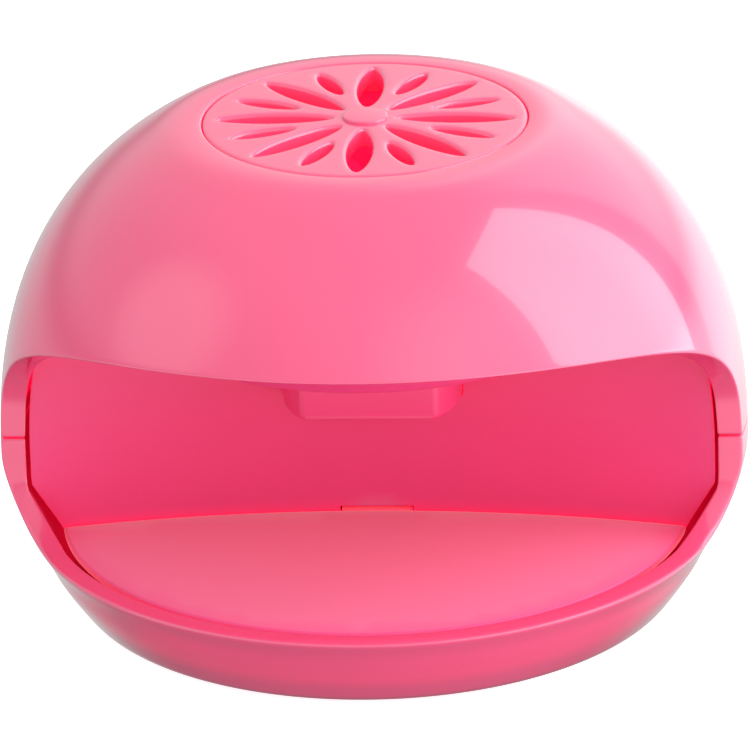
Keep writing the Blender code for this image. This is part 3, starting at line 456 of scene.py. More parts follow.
def plate(name, outer, holes, low, high, top_edge, low_edge, spacing=3.0, lift=None, hole_edge=None):
    """A slab with rounded edges and holes. lift(x, y, z) bends its points, or leaves them."""
    outer = np.array(outer, float)
    holes = [np.array(hole, float) for hole in holes]
    if hole_edge is None:
        hole_edge = top_edge
    steps = 4

    def rows(loop, sign, top, bottom):
        """Loops from the top face's edge, over the side, to the bottom face's edge."""
        upper, lower = [], []
        for k in range(steps + 1):
            angle = math.pi / 2 * k / steps
            out, up = 1 - math.sin(angle), 1 - math.cos(angle)
            upper.append((grown(loop, -sign * top * out), high - top * up))
            lower.append((grown(loop, -sign * bottom * up), low + bottom * out))
        return upper + lower

    rims = [rows(outer, 1.0, top_edge, low_edge)]
    rims += [rows(hole, -1.0, hole_edge, min(hole_edge, low_edge)) for hole in holes]
    points, faces = [], []

    def place(x, y, z):
        points.append(lift(x, y, z) if lift else (x, y, z))
        return len(points) - 1

    rings = []
    for rim in rims:
        rings.append([[place(x, y, z) for x, y in loop] for loop, z in rim])
    for ring in rings:
        for a, b in zip(ring, ring[1:]):
            count = len(a)
            for i in range(count):
                k = (i + 1) % count
                faces.append([a[i], a[k], b[k], b[i]])
    for side in (0, -1):
        loops = [rim[side][0] for rim in rims]
        z = rims[0][side][1]
        places, triangles, original = sheet_fill(loops, loops[1:], spacing)
        known = {}
        base = 0
        for ring in rings:
            for i, index in enumerate(ring[side]):
                if base + i in original:
                    known[original[base + i]] = index
            base += len(ring[side])
        for triangle in triangles:
            face = []
            for k in triangle:
                if k not in known:
                    known[k] = place(places[k][0], places[k][1], z)
                face.append(known[k])
            faces.append(face)
    return new_piece(name, points, faces)


def prism(name, outline, low, high):
    """An upright block with a flat outline."""
    count = len(outline)
    points = [(x, y, z) for z in (low, high) for x, y in outline]
    faces = [list(range(count)), list(range(count, 2 * count))]
    for i in range(count):
        k = (i + 1) % count
        faces.append([i, k, k + count, i + count])
    return new_piece(name, points, faces)


def spoke(xs, ys, angle):
    """An outline drawn along X, turned about the centre by an angle in degrees."""
    turn = math.radians(angle)
    return np.stack([xs * math.cos(turn) - ys * math.sin(turn),
                     xs * math.sin(turn) + ys * math.cos(turn)], axis=1)


def capsule(length, width, distance, angle):
    """A slot with round ends that points to the centre."""
    far_end = arc((length - width, 0.0), width / 2, -90, 90, 12)
    ends = np.concatenate([far_end, arc((0.0, 0.0), width / 2, 90, 270, 12)])
    return spoke(ends[:, 0] + distance + width / 2, ends[:, 1], angle)


# ---------------------------------------------------------------- the two shells
SIDE_STEP = 1.25         # distance between the shells' columns
CORNER_ROUND = 0.45      # radius where the mouth's edge meets the parting line
MOUTH_WEIGHT = 1.5       # spreads the columns from the mouth out over the dome


def mouth_on(profile, path, shares):
    """Points where the mouth's edge crosses a turned surface, from the seam to the middle."""
    order = np.argsort(profile[:, 1])
    radius = np.interp(path[:, 1], profile[order, 1], profile[order, 0])
    lengths = reach(path)
    over = np.argmax(-path[:, 0] > radius)
    a, b = (radius + path[:, 0])[over - 1:over + 1]
    tip = lengths[over - 1] + (lengths[over] - lengths[over - 1]) * a / (a - b)
    flat = along(path, np.asarray(shares) * tip)
    radii = np.interp(flat[:, 1], profile[order, 1], profile[order, 0])
    x = np.sqrt(np.maximum(radii ** 2 - flat[:, 0] ** 2, 0.0))
    return np.stack([x, flat[:, 0], flat[:, 1]], axis=1)


def half_edge(profile, path, rear_shares, mouth_shares):
    """Right half of a shell's open edge: the back's middle, round to the mouth's middle."""
    radius, height = profile[0]
    corner = math.asin(MOUTH_BACK_Y / radius)
    angles = math.pi / 2 + (corner - math.pi / 2) * rear_shares
    level = np.full(len(angles), height)
    rear = np.stack([radius * np.cos(angles), radius * np.sin(angles), level], axis=1)
    mouth = mouth_on(profile, path, mouth_shares)
    turn = bezier(rear[-1], mouth_on(profile, path, [0.0])[0], mouth[0], count=5)[1:-1]
    return np.concatenate([rear, turn, mouth])


def edge_shares(profile, path):
    """How the columns are spread along the edge, as shares of its rear and of its mouth."""
    radius = profile[0][0]
    rear_length = radius * (math.pi / 2 - math.asin(MOUTH_BACK_Y / radius))
    count = int(rear_length / SIDE_STEP)
    rear = np.linspace(0.0, 1.0 - CORNER_ROUND / rear_length, count)
    sines = np.sin(np.linspace(0.0, math.pi / 2, 900))
    points = mouth_on(profile, path, sines)
    lengths = reach(points)
    count = int(lengths[-1] / SIDE_STEP)
    mouth = np.interp(np.linspace(CORNER_ROUND, lengths[-1], count), lengths, sines)
    mouth[-1] = 1.0
    return rear, mouth


def column(start, profile, angle_end, distances, other=None):
    """Points up a turned surface from a start on it, fanning to an end angle.

    distances are from the start, and beyond the last one the rows are shared out evenly.
    other is a second profile which the column blends over to a little way in."""
    order = np.argsort(profile[:, 1])
    lengths = reach(profile)
    begin = np.interp(start[2], profile[order, 1], lengths[order])
    total = lengths[-1]
    angle = math.atan2(start[1], start[0])
    if start[1] > 0 and angle < 0:
        angle += 2 * math.pi
    fine = np.linspace(0.0, 1.0, 120)
    spots = along(profile, begin + (total - begin) * fine)
    angles = angle + (angle_end - angle) * fine
    track = np.stack([spots[:, 0] * np.cos(angles), spots[:, 0] * np.sin(angles), spots[:, 1]], axis=1)
    run = reach(track)
    near = list(distances)
    rest = np.linspace(near[-1], run[-1], REST_ROWS + 1)[1:]
    wanted = np.interp(np.concatenate([near, rest]), run, fine)
    spots = along(profile, begin + (total - begin) * wanted)
    if other is not None:
        second = reach(other)
        share = (begin + (total - begin) * wanted) / total
        inner = along(other, share * second[-1])
        depth = np.concatenate([near, rest])
        blend = np.clip((depth - 3.0) / 1.6, 0.0, 1.0)[:, None]
        blend = blend * blend * (3 - 2 * blend)
        spots = spots * (1 - blend) + inner * blend
    angles = angle + (angle_end - angle) * wanted
    return np.stack([spots[:, 0] * np.cos(angles), spots[:, 0] * np.sin(angles), spots[:, 1]], axis=1)


REST_ROWS = 30


def fillet(a, corner, b, steps=4):
    """Points of a rounded corner between two points, ends left out."""
    return bezier(a, corner, b, count=steps + 1)[1:-1]


def shell(name, outer, lip, wall, path, cap, rim_edge=0.6):
    """A thick shell with a mouth: outer, lip and wall are profiles from the seam to the cap.

    cap is the profile that joins the outer surface's end to the inner one's, or None where
    both ends are closed flat. rim_edge is the outer edge's radius at the mouth's low rim."""
    seam_edge, inner_edge = 0.5, 0.35
    rear_shares, mouth_shares = edge_shares(outer, path)
    outside = half_edge(outer, path, rear_shares, mouth_shares)
    within = half_edge(lip, path, rear_shares, mouth_shares)
    weights = np.linalg.norm(np.diff(outside, axis=0), axis=1)
    weights[len(rear_shares) - 1:] *= MOUTH_WEIGHT
    spread = np.concatenate(([0.0], np.cumsum(weights)))
    ends = math.pi / 2 - math.pi * spread / spread[-1]
    columns = []
    for start, start_in, end in zip(outside, within, ends):
        share = min(max((SEAM_Z - start[2]) / (SEAM_Z - RIM_Z), 0.0), 1.0)
        edge = seam_edge + (rim_edge - seam_edge) * share
        out = column(start, outer, end, [edge, edge + 0.7, edge + 1.5, edge + 2.5])
        into = column(start_in, lip, end, [inner_edge, 1.3, 2.2, 3.0, 3.6, 4.2, 4.8], wall)
        across = start_in - start
        across /= np.linalg.norm(across)
        face_out = start + across * edge
        face_in = start_in - across * inner_edge
        rows = [out[::-1], fillet(out[0], start, face_out), [face_out], [(face_out + face_in) / 2],
                [face_in], fillet(face_in, start_in, into[0], 3), into]
        if cap is not None:
            around = [(r * math.cos(end), r * math.sin(end), z) for r, z in reversed(cap)]
            rows.append(around)
        columns.append(np.concatenate(rows))
    right = np.array(columns)
    left = right[1:-1][::-1] * np.array([-1.0, 1.0, 1.0])
    return grid_piece(name, np.concatenate([right, left]), cap is not None)


def grid_piece(name, columns, closed):
    """A solid from a ring of columns. A closed one's rows go round as well."""
    count, rows = columns.shape[:2]
    faces = []
    for i in range(count):
        k = (i + 1) % count
        for j in range(rows if closed else rows - 1):
            n = (j + 1) % rows
            faces.append([i * rows + j, k * rows + j, k * rows + n, i * rows + n])
    if not closed:
        faces.append([i * rows for i in range(count)])
        faces.append([i * rows + rows - 1 for i in range(count)])
    return new_piece(name, columns.reshape(-1, 3), faces)


def socket(name, x, y, low, length, radius, bore, depth):
    """A post that hangs down, with a blind hole for a screw in its lower end."""
    profile = [(0.0, low + length), (radius, low + length), (radius, low), (bore, low),
               (bore, low + depth), (0.0, low + depth)]
    return turned(name, rounded(profile, [0.0, 0.2, 0.2, 0.2, 0.2, 0.0]), 48,
                  Matrix.Translation((x, y, 0.0)))


def upper_shell():
    """The dome, from the mouth's edge up to the ledge that the grille sits on."""
    ledge_top = GRILLE_LOW.z + 2.2 - GAP
    ledge_low = ledge_top - 1.5
    outer = dome_curve(SEAM_RISE + SEAM, DOME_TOP, 0.0)
    end = outer[-1]
    slope = (outer[-1] - outer[-2]) / np.linalg.norm(outer[-1] - outer[-2])
    collar = bezier(end, end + slope * 2.6, (33.6, GRILLE_TOP), (31.0, GRILLE_TOP), count=9)
    outer = np.concatenate([outer, collar[1:]])
    lip = dome_curve(SEAM_RISE + SEAM, ledge_low - EQUATOR_Z, LIP)
    wall = dome_curve(SEAM_RISE + SEAM, ledge_low - EQUATOR_Z, WALL)
    seat = [(SEAT_RADIUS, GRILLE_TOP), (SEAT_RADIUS, ledge_top), (LEDGE_RADIUS, ledge_top),
            (LEDGE_RADIUS, ledge_low), (LEDGE_RADIUS + 3.0, ledge_low)]
    cap = rounded([(30.0, GRILLE_TOP)] + seat, [0.0, 0.45, 0.2, 0.3, 0.3, 0.0])
    dome = shell("upper_shell", outer, lip, wall, upper_mouth(), cap)

    low = SEAM_Z + SEAM
    pieces = [dome]
    for x, y in SHELL_SCREWS:
        pieces.append(socket("boss", x, y, low, 12.0, 3.2, 1.5, 10.5))
        start, end = math.hypot(x, y) + 2.8, DOME_RADIUS - 1.6
        turn = Matrix.Rotation(math.atan2(y, x), 4, "Z")
        pieces.append(block("web", (start, -0.8, low + 2.5), (end, 0.8, low + 12.0), 0.0, turn, True))
    for i in range(3):
        x, y = polar(49.5, 90 + 120 * i)
        pieces.append(socket("ceiling_post", x, y, ROOF_Z + PANEL + GAP, 8.0, 2.6, 1.2, 5.0))
    dome = together("upper_shell", pieces)
    dress(dome, "upper_shell", "shell_pink")


def lower_side(low_drop, inset):
    """Profile of the lower shell's side from the parting line down, moved in by inset."""
    top = dome_curve(SEAM_RISE - SEAM, 0.0, inset, 20)
    return np.concatenate([top, bowl_curve(0.0, low_drop, inset)[1:]])


def lower_shell():
    """The bowl that stands on the table, with its flat base."""
    outer = lower_side(BOWL_LOW, 0.0)
    outer[:, 0] -= 0.35 * np.exp(-((outer[:, 1] - 12.5) / 2.6) ** 2)
    end = outer[-1]
    slope = (outer[-1] - outer[-2]) / np.linalg.norm(outer[-1] - outer[-2])
    heel = bezier(end, end + slope * 1.7, (51.8, BASE_Z), (49.9, BASE_Z), count=12)
    outer = np.concatenate([outer, heel[1:]])
    floor_drop = EQUATOR_Z - FLOOR_Z
    wall = lower_side(floor_drop - 3.0, WALL)
    turn = bezier(wall[-1], (wall[-1][0] - 1.6, FLOOR_Z), (49.4, FLOOR_Z), count=10)[1:]
    lip_radius = DOME_RADIUS - LIP
    lip = rounded([(lip_radius, SEAM_Z - SEAM), (lip_radius, KINK_Z), (RIM_INNER_RADIUS, RIM_Z),
                   (RIM_INNER_RADIUS + 0.4, RIM_Z - 0.8)], [0.0, 0.6, 0.0, 0.0])
    lip = np.concatenate([lip, bowl_curve(14.9, floor_drop - 3.0, WALL)[1:], turn])
    wall = np.concatenate([wall, turn])
    joint = [(outer[-1][0] * 0.5 + turn[-1][0] * 0.5, (BASE_Z + FLOOR_Z) / 2)]
    bowl = shell("lower_shell", outer, lip, wall, lower_mouth(), joint, 1.1)
    shy = 0.01
    base = turned("base", [(0.0, FLOOR_Z), (turn[-1][0] - shy, FLOOR_Z), (outer[-1][0] - shy, BASE_Z),
                           (0.0, BASE_Z)], 240)

    deep = FLOOR_Z - 1.0
    added = []
    for name in SPRINGS:
        middle = middle_of(name)
        added.append(rod("stud", (middle.x, middle.y, deep), 3.4, 2.4))
    for side in (-1, 1):
        x = 9.0 * side
        far = (x + 1.2, HINGE.y + 2.0, HINGE.z + 2.4)
        added.append(block("hinge_post", (x - 1.2, HINGE.y - 2.2, deep), far))
    for x in (-36.0, 36.0):
        front = float(wall_y(x))
        for y in (front - 1.95, front + WALL_THICKNESS + 0.75):
            added.append(block("rib", (x - 2.0, y, deep), (x + 2.0, y + 1.2, FLOOR_Z + 3.0)))
    cut(base, together("added", added), "UNION")

    taken = [block("battery_opening", (-23.9, 7.4, -2.0), (23.9, 40.0, FLOOR_Z + 1.0), 0.3),
             rod("sockets", (-25.4, DOOR_HINGE.y, DOOR_HINGE.z), 50.8, 0.9, "X", edge=0.0)]
    for x, y in SHELL_SCREWS:
        taken.append(turned("well", [(0.0, 5.0), (2.8, 5.0), (2.8, BASE_Z + 0.3), (3.4, BASE_Z - 0.4),
                                     (0.0, BASE_Z - 0.4)], 48, Matrix.Translation((x, y, 0.0))))
    for corner in FEET:
        middle = middle_of("foot_" + corner)
        taken.append(rod("recess", (middle.x, middle.y, BASE_Z - 1.0), 2.4, 4.5))
    taken.append(rod("hinge_bore", (-12.0, HINGE.y, HINGE.z), 24.0, 1.3, "X", edge=0.0))
    for tool in taken:
        cut(base, tool)
    top = SEAM_Z - SEAM
    well = 2.78
    profile = [(2.5, top), (3.5, top), (3.5, FLOOR_Z - 0.3), (well, FLOOR_Z - 0.3), (well, 13.0),
               (1.5, 13.0), (1.5, top), (2.5, top)]
    profile = rounded(profile, [0.0, 0.2, 0.0, 0.0, 0.2, 0.2, 0.2, 0.0])[:-1]
    posts = [turned("post", profile, 48, Matrix.Translation((x, y, 0.0)), True) for x, y in SHELL_SCREWS]
    bowl = together("lower_shell", [bowl, base] + posts)
    dress(bowl, "lower_shell", "shell_pink")


# ---------------------------------------------------------------- materials
def feed(made, inputs):
    """Fill a node's inputs, by name or number: sockets are linked, the rest are plain values."""
    for key, value in inputs.items():
        if isinstance(value, bpy.types.NodeSocket):
            made.id_data.links.new(value, made.inputs[key])
        else:
            made.inputs[key].default_value = value


def node(tree, kind, inputs, output=0, **settings):
    """A new shader node with its inputs fed. Returns one of its outputs."""
    made = tree.nodes.new("ShaderNode" + kind)
    for key, value in settings.items():
        setattr(made, key, value)
    feed(made, inputs)
    return made.outputs[output]


def noise(tree, scale, detail):
    """Noise in the object's own coordinates; scale is in features per metre."""
    where = tree.nodes.get("where") or tree.nodes.new("ShaderNodeTexCoord")
    where.name = "where"
    return node(tree, "TexNoise", {"Vector": where.outputs["Object"], "Scale": scale, "Detail": detail})


def ranged(tree, value, low, high, start=0.0, end=1.0):
    """A value's range from start to end, moved to low to high."""
    return node(tree, "MapRange", {"Value": value, "From Min": start, "From Max": end, "To Min": low,
                                   "To Max": high})


def ramp(tree, value, start, end):
    """0 at start and 1 at end, smoothly."""
    return node(tree, "MapRange", {"Value": value, "From Min": start, "From Max": end},
                interpolation_type="SMOOTHSTEP")


def calculated(tree, operation, a, b):
    """A math node on two sockets or numbers."""
    return node(tree, "Math", {0: a, 1: b}, operation=operation)


def solid(colour):
    return (*colour, 1.0)


def mixed(tree, factor, a, b):
    """Two colours mixed by a factor; either can be a socket."""
    return node(tree, "Mix", {"Factor": factor, 6: a, 7: b}, 2, data_type="RGBA")


def mottled(tree, scale, detail, colour, darker, lighter):
    """A colour that wanders between a darker and a lighter shade."""
    low, high = (solid(min(1.0, channel * factor) for channel in colour) for factor in (darker, lighter))
    return mixed(tree, noise(tree, scale, detail), low, high)


def bumps(tree, shader, layers):
    """Chain bump nodes: each layer is (height socket, distance in metres, strength)."""
    chain = {}
    for height, distance, strength in layers:
        inputs = {"Distance": distance, "Strength": strength, "Height": height}
        chain = {"Normal": node(tree, "Bump", {**inputs, **chain})}
    feed(shader, chain)


def new_material(name):
    material = bpy.data.materials.new(name)
    material.use_nodes = True
    return material, material.node_tree, material.node_tree.nodes["Principled BSDF"]


def painted_glow_mask(tree, depth):
    """Mask for the painted light in gaps: 1 in gaps narrower than depth, 0 in the open, and 0 close to the table.
    """
    open_air = node(tree, "AmbientOcclusion", {"Distance": depth}, "AO", samples=4)
    place = tree.nodes.new("ShaderNodeNewGeometry").outputs["Position"]
    height = node(tree, "SeparateXYZ", {"Vector": place}, "Z")
    return calculated(tree, "MULTIPLY", ramp(tree, open_air, 0.45, 0.05), ramp(tree, height, 0.004, 0.008))


def moulded(name, colour, roughness, grain=0.1, grain_scale=2600.0, wave=0.0, coat=0.0, scatter=0.0,
            painted_glow=None, depth=0.0, sheen=0.0, wear=0.35):
    """Moulded plastic: a slight mottle, fine grain, faint sink waves and polished edges.

    An emission colour, where given, is painted light in gaps narrower than depth, for light through the plastic."""
    material, tree, shader = new_material(name)
    edges = tree.nodes.new("ShaderNodeNewGeometry").outputs["Pointiness"]
    worn = ranged(tree, edges, 0.0, wear, 0.53, 0.62)
    shade = mottled(tree, 22.0, 2.0, colour, 0.965, 1.035)
    base = mixed(tree, worn, shade, solid(c + (1.0 - c) * 0.22 for c in colour))
    rough = ranged(tree, noise(tree, 90.0, 4.0), roughness - 0.035, roughness + 0.035)
    layers = [(noise(tree, grain_scale, 2.0), 0.00004, grain)]
    if wave:
        layers.append((noise(tree, 34.0, 1.0), 0.0006, wave))
    bumps(tree, shader, layers)
    feed(shader, {"Base Color": base, "Roughness": rough, "IOR": 1.5})
    if coat:
        feed(shader, {"Coat Weight": coat, "Coat Roughness": 0.05})
    if sheen:
        feed(shader, {"Sheen Weight": sheen, "Sheen Roughness": 0.4})
    # Painted light: the plastic gives off light in narrow gaps, though it is no lamp.
    if painted_glow:
        feed(shader, {"Emission Color": solid(painted_glow), "Emission Strength": painted_glow_mask(tree, depth)})
    if scatter:
        feed(shader, {"Subsurface Weight": scatter, "Subsurface Radius": (0.004, 0.0012, 0.0016),
                      "Subsurface Scale": 1.0})
    return material


def metal(name, colour, roughness):
    """Plated metal with fine marks and dull patches."""
    material, tree, shader = new_material(name)
    bumps(tree, shader, [(noise(tree, 3500.0, 2.0), 0.00003, 0.15)])
    rough = ranged(tree, noise(tree, 500.0, 4.0), roughness - 0.08, roughness + 0.1)
    feed(shader, {"Base Color": mottled(tree, 240.0, 5.0, colour, 0.82, 1.08), "Metallic": 1.0,
                  "Roughness": rough})
    return material


PINK = (0.89, 0.092, 0.225)
# Colour of the painted light that the pink plastics give off in narrow gaps.
PAINTED_GLOW = (0.62, 0.002, 0.035)
PLASTICS = {
    "shell_pink": dict(colour=PINK, roughness=0.2, grain=0.03, wave=0.04, coat=1.0, painted_glow=PAINTED_GLOW, depth=0.03,
                       wear=0.04),
    "plate_pink": dict(colour=(0.9, 0.08, 0.275), roughness=0.5, grain=0.5, grain_scale=1900.0, painted_glow=PAINTED_GLOW,
                       depth=0.004, sheen=0.85),
    # inner_pink and fan_pink are darker and more saturated than the shell's pink: painted shade of the cavity.
    "inner_pink": dict(colour=(0.87, 0.063, 0.225), roughness=0.36, grain=0.3, painted_glow=PAINTED_GLOW, depth=0.005),
    # The fan's pink gives off a brighter painted light in its gaps.
    "fan_pink": dict(colour=(0.86, 0.065, 0.215), roughness=0.36, grain=0.3, painted_glow=(1.0, 0.004, 0.06),
                     depth=0.04),
    "white_plastic": dict(colour=(0.80, 0.80, 0.77), roughness=0.4, grain=0.3),
    "black_plastic": dict(colour=(0.028, 0.028, 0.03), roughness=0.42, grain=0.4),
    "magnet": dict(colour=(0.09, 0.09, 0.095), roughness=0.62, grain=0.6),
    "circuit_board": dict(colour=(0.03, 0.2, 0.085), roughness=0.38, grain=0.3, grain_scale=1200.0),
    "led_clear": dict(colour=(0.72, 0.64, 0.93), roughness=0.12, grain=0.05, scatter=0.3),
    "cell_jacket": dict(colour=(0.2, 0.23, 0.27), roughness=0.25, grain=0.1, coat=0.4),
    "rubber_foot": dict(colour=(0.11, 0.11, 0.115), roughness=0.75, grain=0.9, grain_scale=1500.0),
    "red_wire": dict(colour=(0.62, 0.03, 0.03), roughness=0.38, grain=0.3),
    "black_wire": dict(colour=(0.02, 0.02, 0.022), roughness=0.4, grain=0.3),
}
METALS = {
    "steel": ((0.62, 0.62, 0.63), 0.28),
    "brass": ((0.80, 0.60, 0.28), 0.3),
    "copper": ((0.74, 0.38, 0.2), 0.38),
}
MATERIALS = {name: moulded(name, **values) for name, values in PLASTICS.items()}
MATERIALS.update({name: metal(name, *values) for name, values in METALS.items()})


def dress_cad_nodes():
    """Procedural materials for every CAD node, by the record's slots."""
    for part in frame["record"]["subparts"]:
        mesh = frame["nodes"][part["node"]].data
        mesh.materials.clear()
        mesh.materials.append(MATERIALS[part["material_slot"]])


# ---------------------------------------------------------------- the visible pieces
def petal(length, width, distance, angle):
    """A slim slot with soft tips that points to the centre; distance is to its near tip."""
    turns = np.linspace(0.0, 2 * math.pi, 41)[:-1]
    xs = -np.cos(turns) * length / 2
    ys = -np.sign(np.sin(turns)) * width / 2 * np.abs(np.sin(turns)) ** 1.35
    return spoke(xs + distance + length / 2, ys, angle)


def top_grille():
    """The vent insert: a crowned disc with sixteen petals and a boss in the middle."""
    crown = 0.3
    radius = SEAT_RADIUS - 0.12

    def lift(x, y, z):
        rise = crown * (1 - (math.hypot(x, y) / radius) ** 2)
        return x, y, z + (rise if z > GRILLE_TOP - 1.2 else 0.0)

    petals = [petal(19.9, 4.3, 5.7, 45 * i) for i in range(8)]
    petals += [petal(11.4, 2.8, 12.9, 22.5 + 45 * i) for i in range(8)]
    low = GRILLE_TOP - 3.0
    rim = arc((0.0, 0.0), radius, 0.0, 360.0, 145)[:-1]
    disc = plate("disc", rim, petals, low, GRILLE_TOP, 0.6, 0.2, 0.9, lift, 0.7)
    top = GRILLE_HIGH.z
    boss = turned("boss", rounded([(0.0, top), (3.95, top - 0.08), (4.05, GRILLE_TOP - 0.6),
                                   (0.0, GRILLE_TOP - 0.6)], [0.0, 0.4, 0.2, 0.0], 6), 64)
    legs = []
    for i in range(3):
        x, y = polar(GRILLE_RADIUS - 2.5, 36 + 120 * i)
        turn = Matrix.Rotation(math.atan2(y, x), 4, "Z")
        legs.append(block("leg", (x - 0.6, y - 2.0, low - 2.2), (x + 0.6, y + 2.0, low + 0.6), 0.2, turn))
    grille = together("top_grille", [disc, boss] + legs)
    dress(grille, "top_grille", "shell_pink")


def press_plate():
    """The finger plate: a disc whose rear edge follows the back wall."""
    gap = 0.6
    half = math.sqrt(PLATE_RADIUS ** 2 - 8.0 ** 2)
    start = math.degrees(math.atan2(float(wall_y(half)) - gap, half))
    front = arc((0.0, 0.0), PLATE_RADIUS, -180.0 - start, start, 150)
    xs = np.linspace(half, -half, 70)[1:-1]
    rear = np.stack([xs, wall_y(xs) - gap], axis=1)
    outline = np.concatenate([front, rear])
    low = PLATE_TOP - 1.8
    disc = plate("press_plate", outline, [], low, PLATE_TOP, 0.5, 0.9, 4.0)
    tongue = block("tongue", (-6.2, -4.0, low + 0.05), (6.2, HINGE.y, PLATE_TOP - 0.3), 0.2)
    cut(disc, tongue, "UNION")
    cut(disc, rod("barrel", (-6.0, HINGE.y, HINGE.z), 12.0, 2.0, "X"), "UNION")
    studs = []
    for name in SPRINGS:
        middle = middle_of(name)
        studs.append(rod("stud", (middle.x, middle.y, low - 1.6), 2.4, 2.2))
    cut(disc, together("studs", studs), "UNION")
    cut(disc, rod("bore", (-10.0, HINGE.y, HINGE.z), 20.0, 1.3, "X", edge=0.0))
    dress(disc, "press_plate", "plate_pink", "press_plate")


def back_wall():
    """The bent wall behind the fingers, trimmed to the shells' inside."""
    gap = 0.9
    low, top = WALL_LOW.z, WALL_HIGH.z
    limit = dome_curve(top - EQUATOR_Z, 0.0, LIP + gap, 30)
    foot = bowl_curve(13.1, EQUATOR_Z - low, LIP + gap + 0.4, 20)
    limit = np.concatenate([limit, [(DOME_RADIUS - LIP - gap, KINK_Z + 0.2)], foot])[::-1]
    heights = np.concatenate([np.linspace(low, KINK_Z, 14), np.linspace(KINK_Z, top, 24)[1:]])
    reaches = np.interp(heights, limit[:, 1], limit[:, 0])
    xs = reaches.copy()
    for _ in range(12):
        xs = np.sqrt(reaches ** 2 - wall_y(xs, 1.0) ** 2)
    under = DISH_Z - 0.6
    dish_edge = DISH_RADIUS + 0.6
    notch = POD_RADIUS - 0.78
    right = [(dish_edge + 5.0, top), (dish_edge, under), (notch, under), (notch, POD_Z - 0.12)]
    left = [(-x, z) for x, z in reversed(right)]
    outline = [(x, z) for x, z in zip(xs, heights)] + right + left
    outline += [(-x, z) for x, z in zip(xs[::-1], heights[::-1])]
    outline += [(-19.0, low), (-19.0, low + 3.0), (-13.0, low + 3.0), (-13.0, low)]
    slot_low = PLATE_TOP - 2.6
    slot = [(-6.5, slot_low), (6.5, slot_low), (6.5, PLATE_TOP + 0.5), (-6.5, PLATE_TOP + 0.5)]

    def lift(u, v, w):
        return u, float(wall_y(u, WALL_THICKNESS - w)), v

    wall = plate("back_wall", outline, [slot], 0.0, WALL_THICKNESS, 0.2, 0.2, 3.0, lift, 0.15)
    dress(wall, "back_wall", "inner_pink")


def ceiling_panel():
    """The cavity's roof: a dish with air slots, the LEDs' holes and the motor's collar."""
    bore = 10.9
    collar = bore + 1.0
    above = DISH_Z + PANEL
    slope = DISH_RADIUS + 5.0
    profile = [(bore + 0.4, above + 3.0), (collar, above + 3.0), (collar, above),
               (DISH_RADIUS - 1.0, above), (slope - 1.0, ROOF_Z + PANEL),
               (ROOF_RADIUS, ROOF_Z + PANEL), (ROOF_RADIUS, ROOF_Z), (slope + 0.8, ROOF_Z),
               (DISH_RADIUS, DISH_Z + 0.5), (DISH_RADIUS - 1.4, DISH_Z), (bore, DISH_Z),
               (bore, above + 3.0), (bore + 0.4, above + 3.0)]
    radii = [0.0, 0.3, 0.5, 1.5, 1.5, 0.4, 0.4, 1.6, 0.7, 0.6, 0.3, 0.25, 0.0]
    panel = turned("ceiling_panel", rounded(profile, radii, 5)[:-1], 128, closed=True)
    tools = []
    for i in range(7):
        tools.append(prism(f"slot_{i}", capsule(9.6, 3.4, 18.7, -150 + 20 * i), DISH_Z - 2, above + 2))
    for i, angle in enumerate(LED_ANGLES):
        x, y = polar(LED_RING_RADIUS, angle)
        tools.append(rod(f"led_hole_{i}", (x, y, DISH_Z - 2.0), 6.0, 2.8, edge=0.0))
    x, y = polar(LED_RING_RADIUS, 110)
    tools.append(rod("wire_hole", (x, y, DISH_Z - 2.0), 6.0, 2.0, edge=0.0))
    for i in range(3):
        x, y = polar(49.5, 90 + 120 * i)
        tools.append(rod(f"panel_hole_{i}", (x, y, ROOF_Z - 2.0), 6.0, 1.2, edge=0.0))
    for side in (-1, 1):
        tools.append(rod(f"cover_hole_{side}", (side * COVER_SCREW_X, 0.0, DISH_Z - 2.0), 6.0, 1.1,
                         edge=0.0))
    cut(panel, together("tools", tools))
    dress(panel, "ceiling_panel", "inner_pink")


def pod_outline(inset):
    """Plan of the motor pod: a round back and sides, and a flat front with softer corners."""
    radius = POD_RADIUS - inset
    flat = POD_LOW.y + inset
    corner = max(1.6 - inset, 0.2)
    centre_y = flat + corner
    side_y = -3.0
    centre_x = math.sqrt((radius - 0.9 - corner) ** 2 - (centre_y - side_y) ** 2)
    meet = math.degrees(math.atan2(centre_y - side_y, centre_x))
    front = [arc((-centre_x, centre_y), corner, 180.0 - meet, 270.0, 10),
             arc((centre_x, centre_y), corner, 270.0, 360.0 + meet, 10)]
    sides = arc((0.0, side_y), radius - 0.9, meet, 0.0, 14)[1:]
    rear = arc((0.0, 0.0), radius, 0.0, 180.0, 60)[1:-1]
    blend = np.clip(np.abs(np.linspace(-1, 1, len(rear))) * 3.0 - 2.0, 0.0, 1.0)[:, None]
    near = arc((0.0, 0.0), radius - 0.9, 0.0, 180.0, 60)[1:-1]
    rear = rear * (1 - blend) + near * blend
    left = sides[::-1] * np.array([-1.0, 1.0])
    return np.concatenate([front[0], front[1], sides, rear, left])


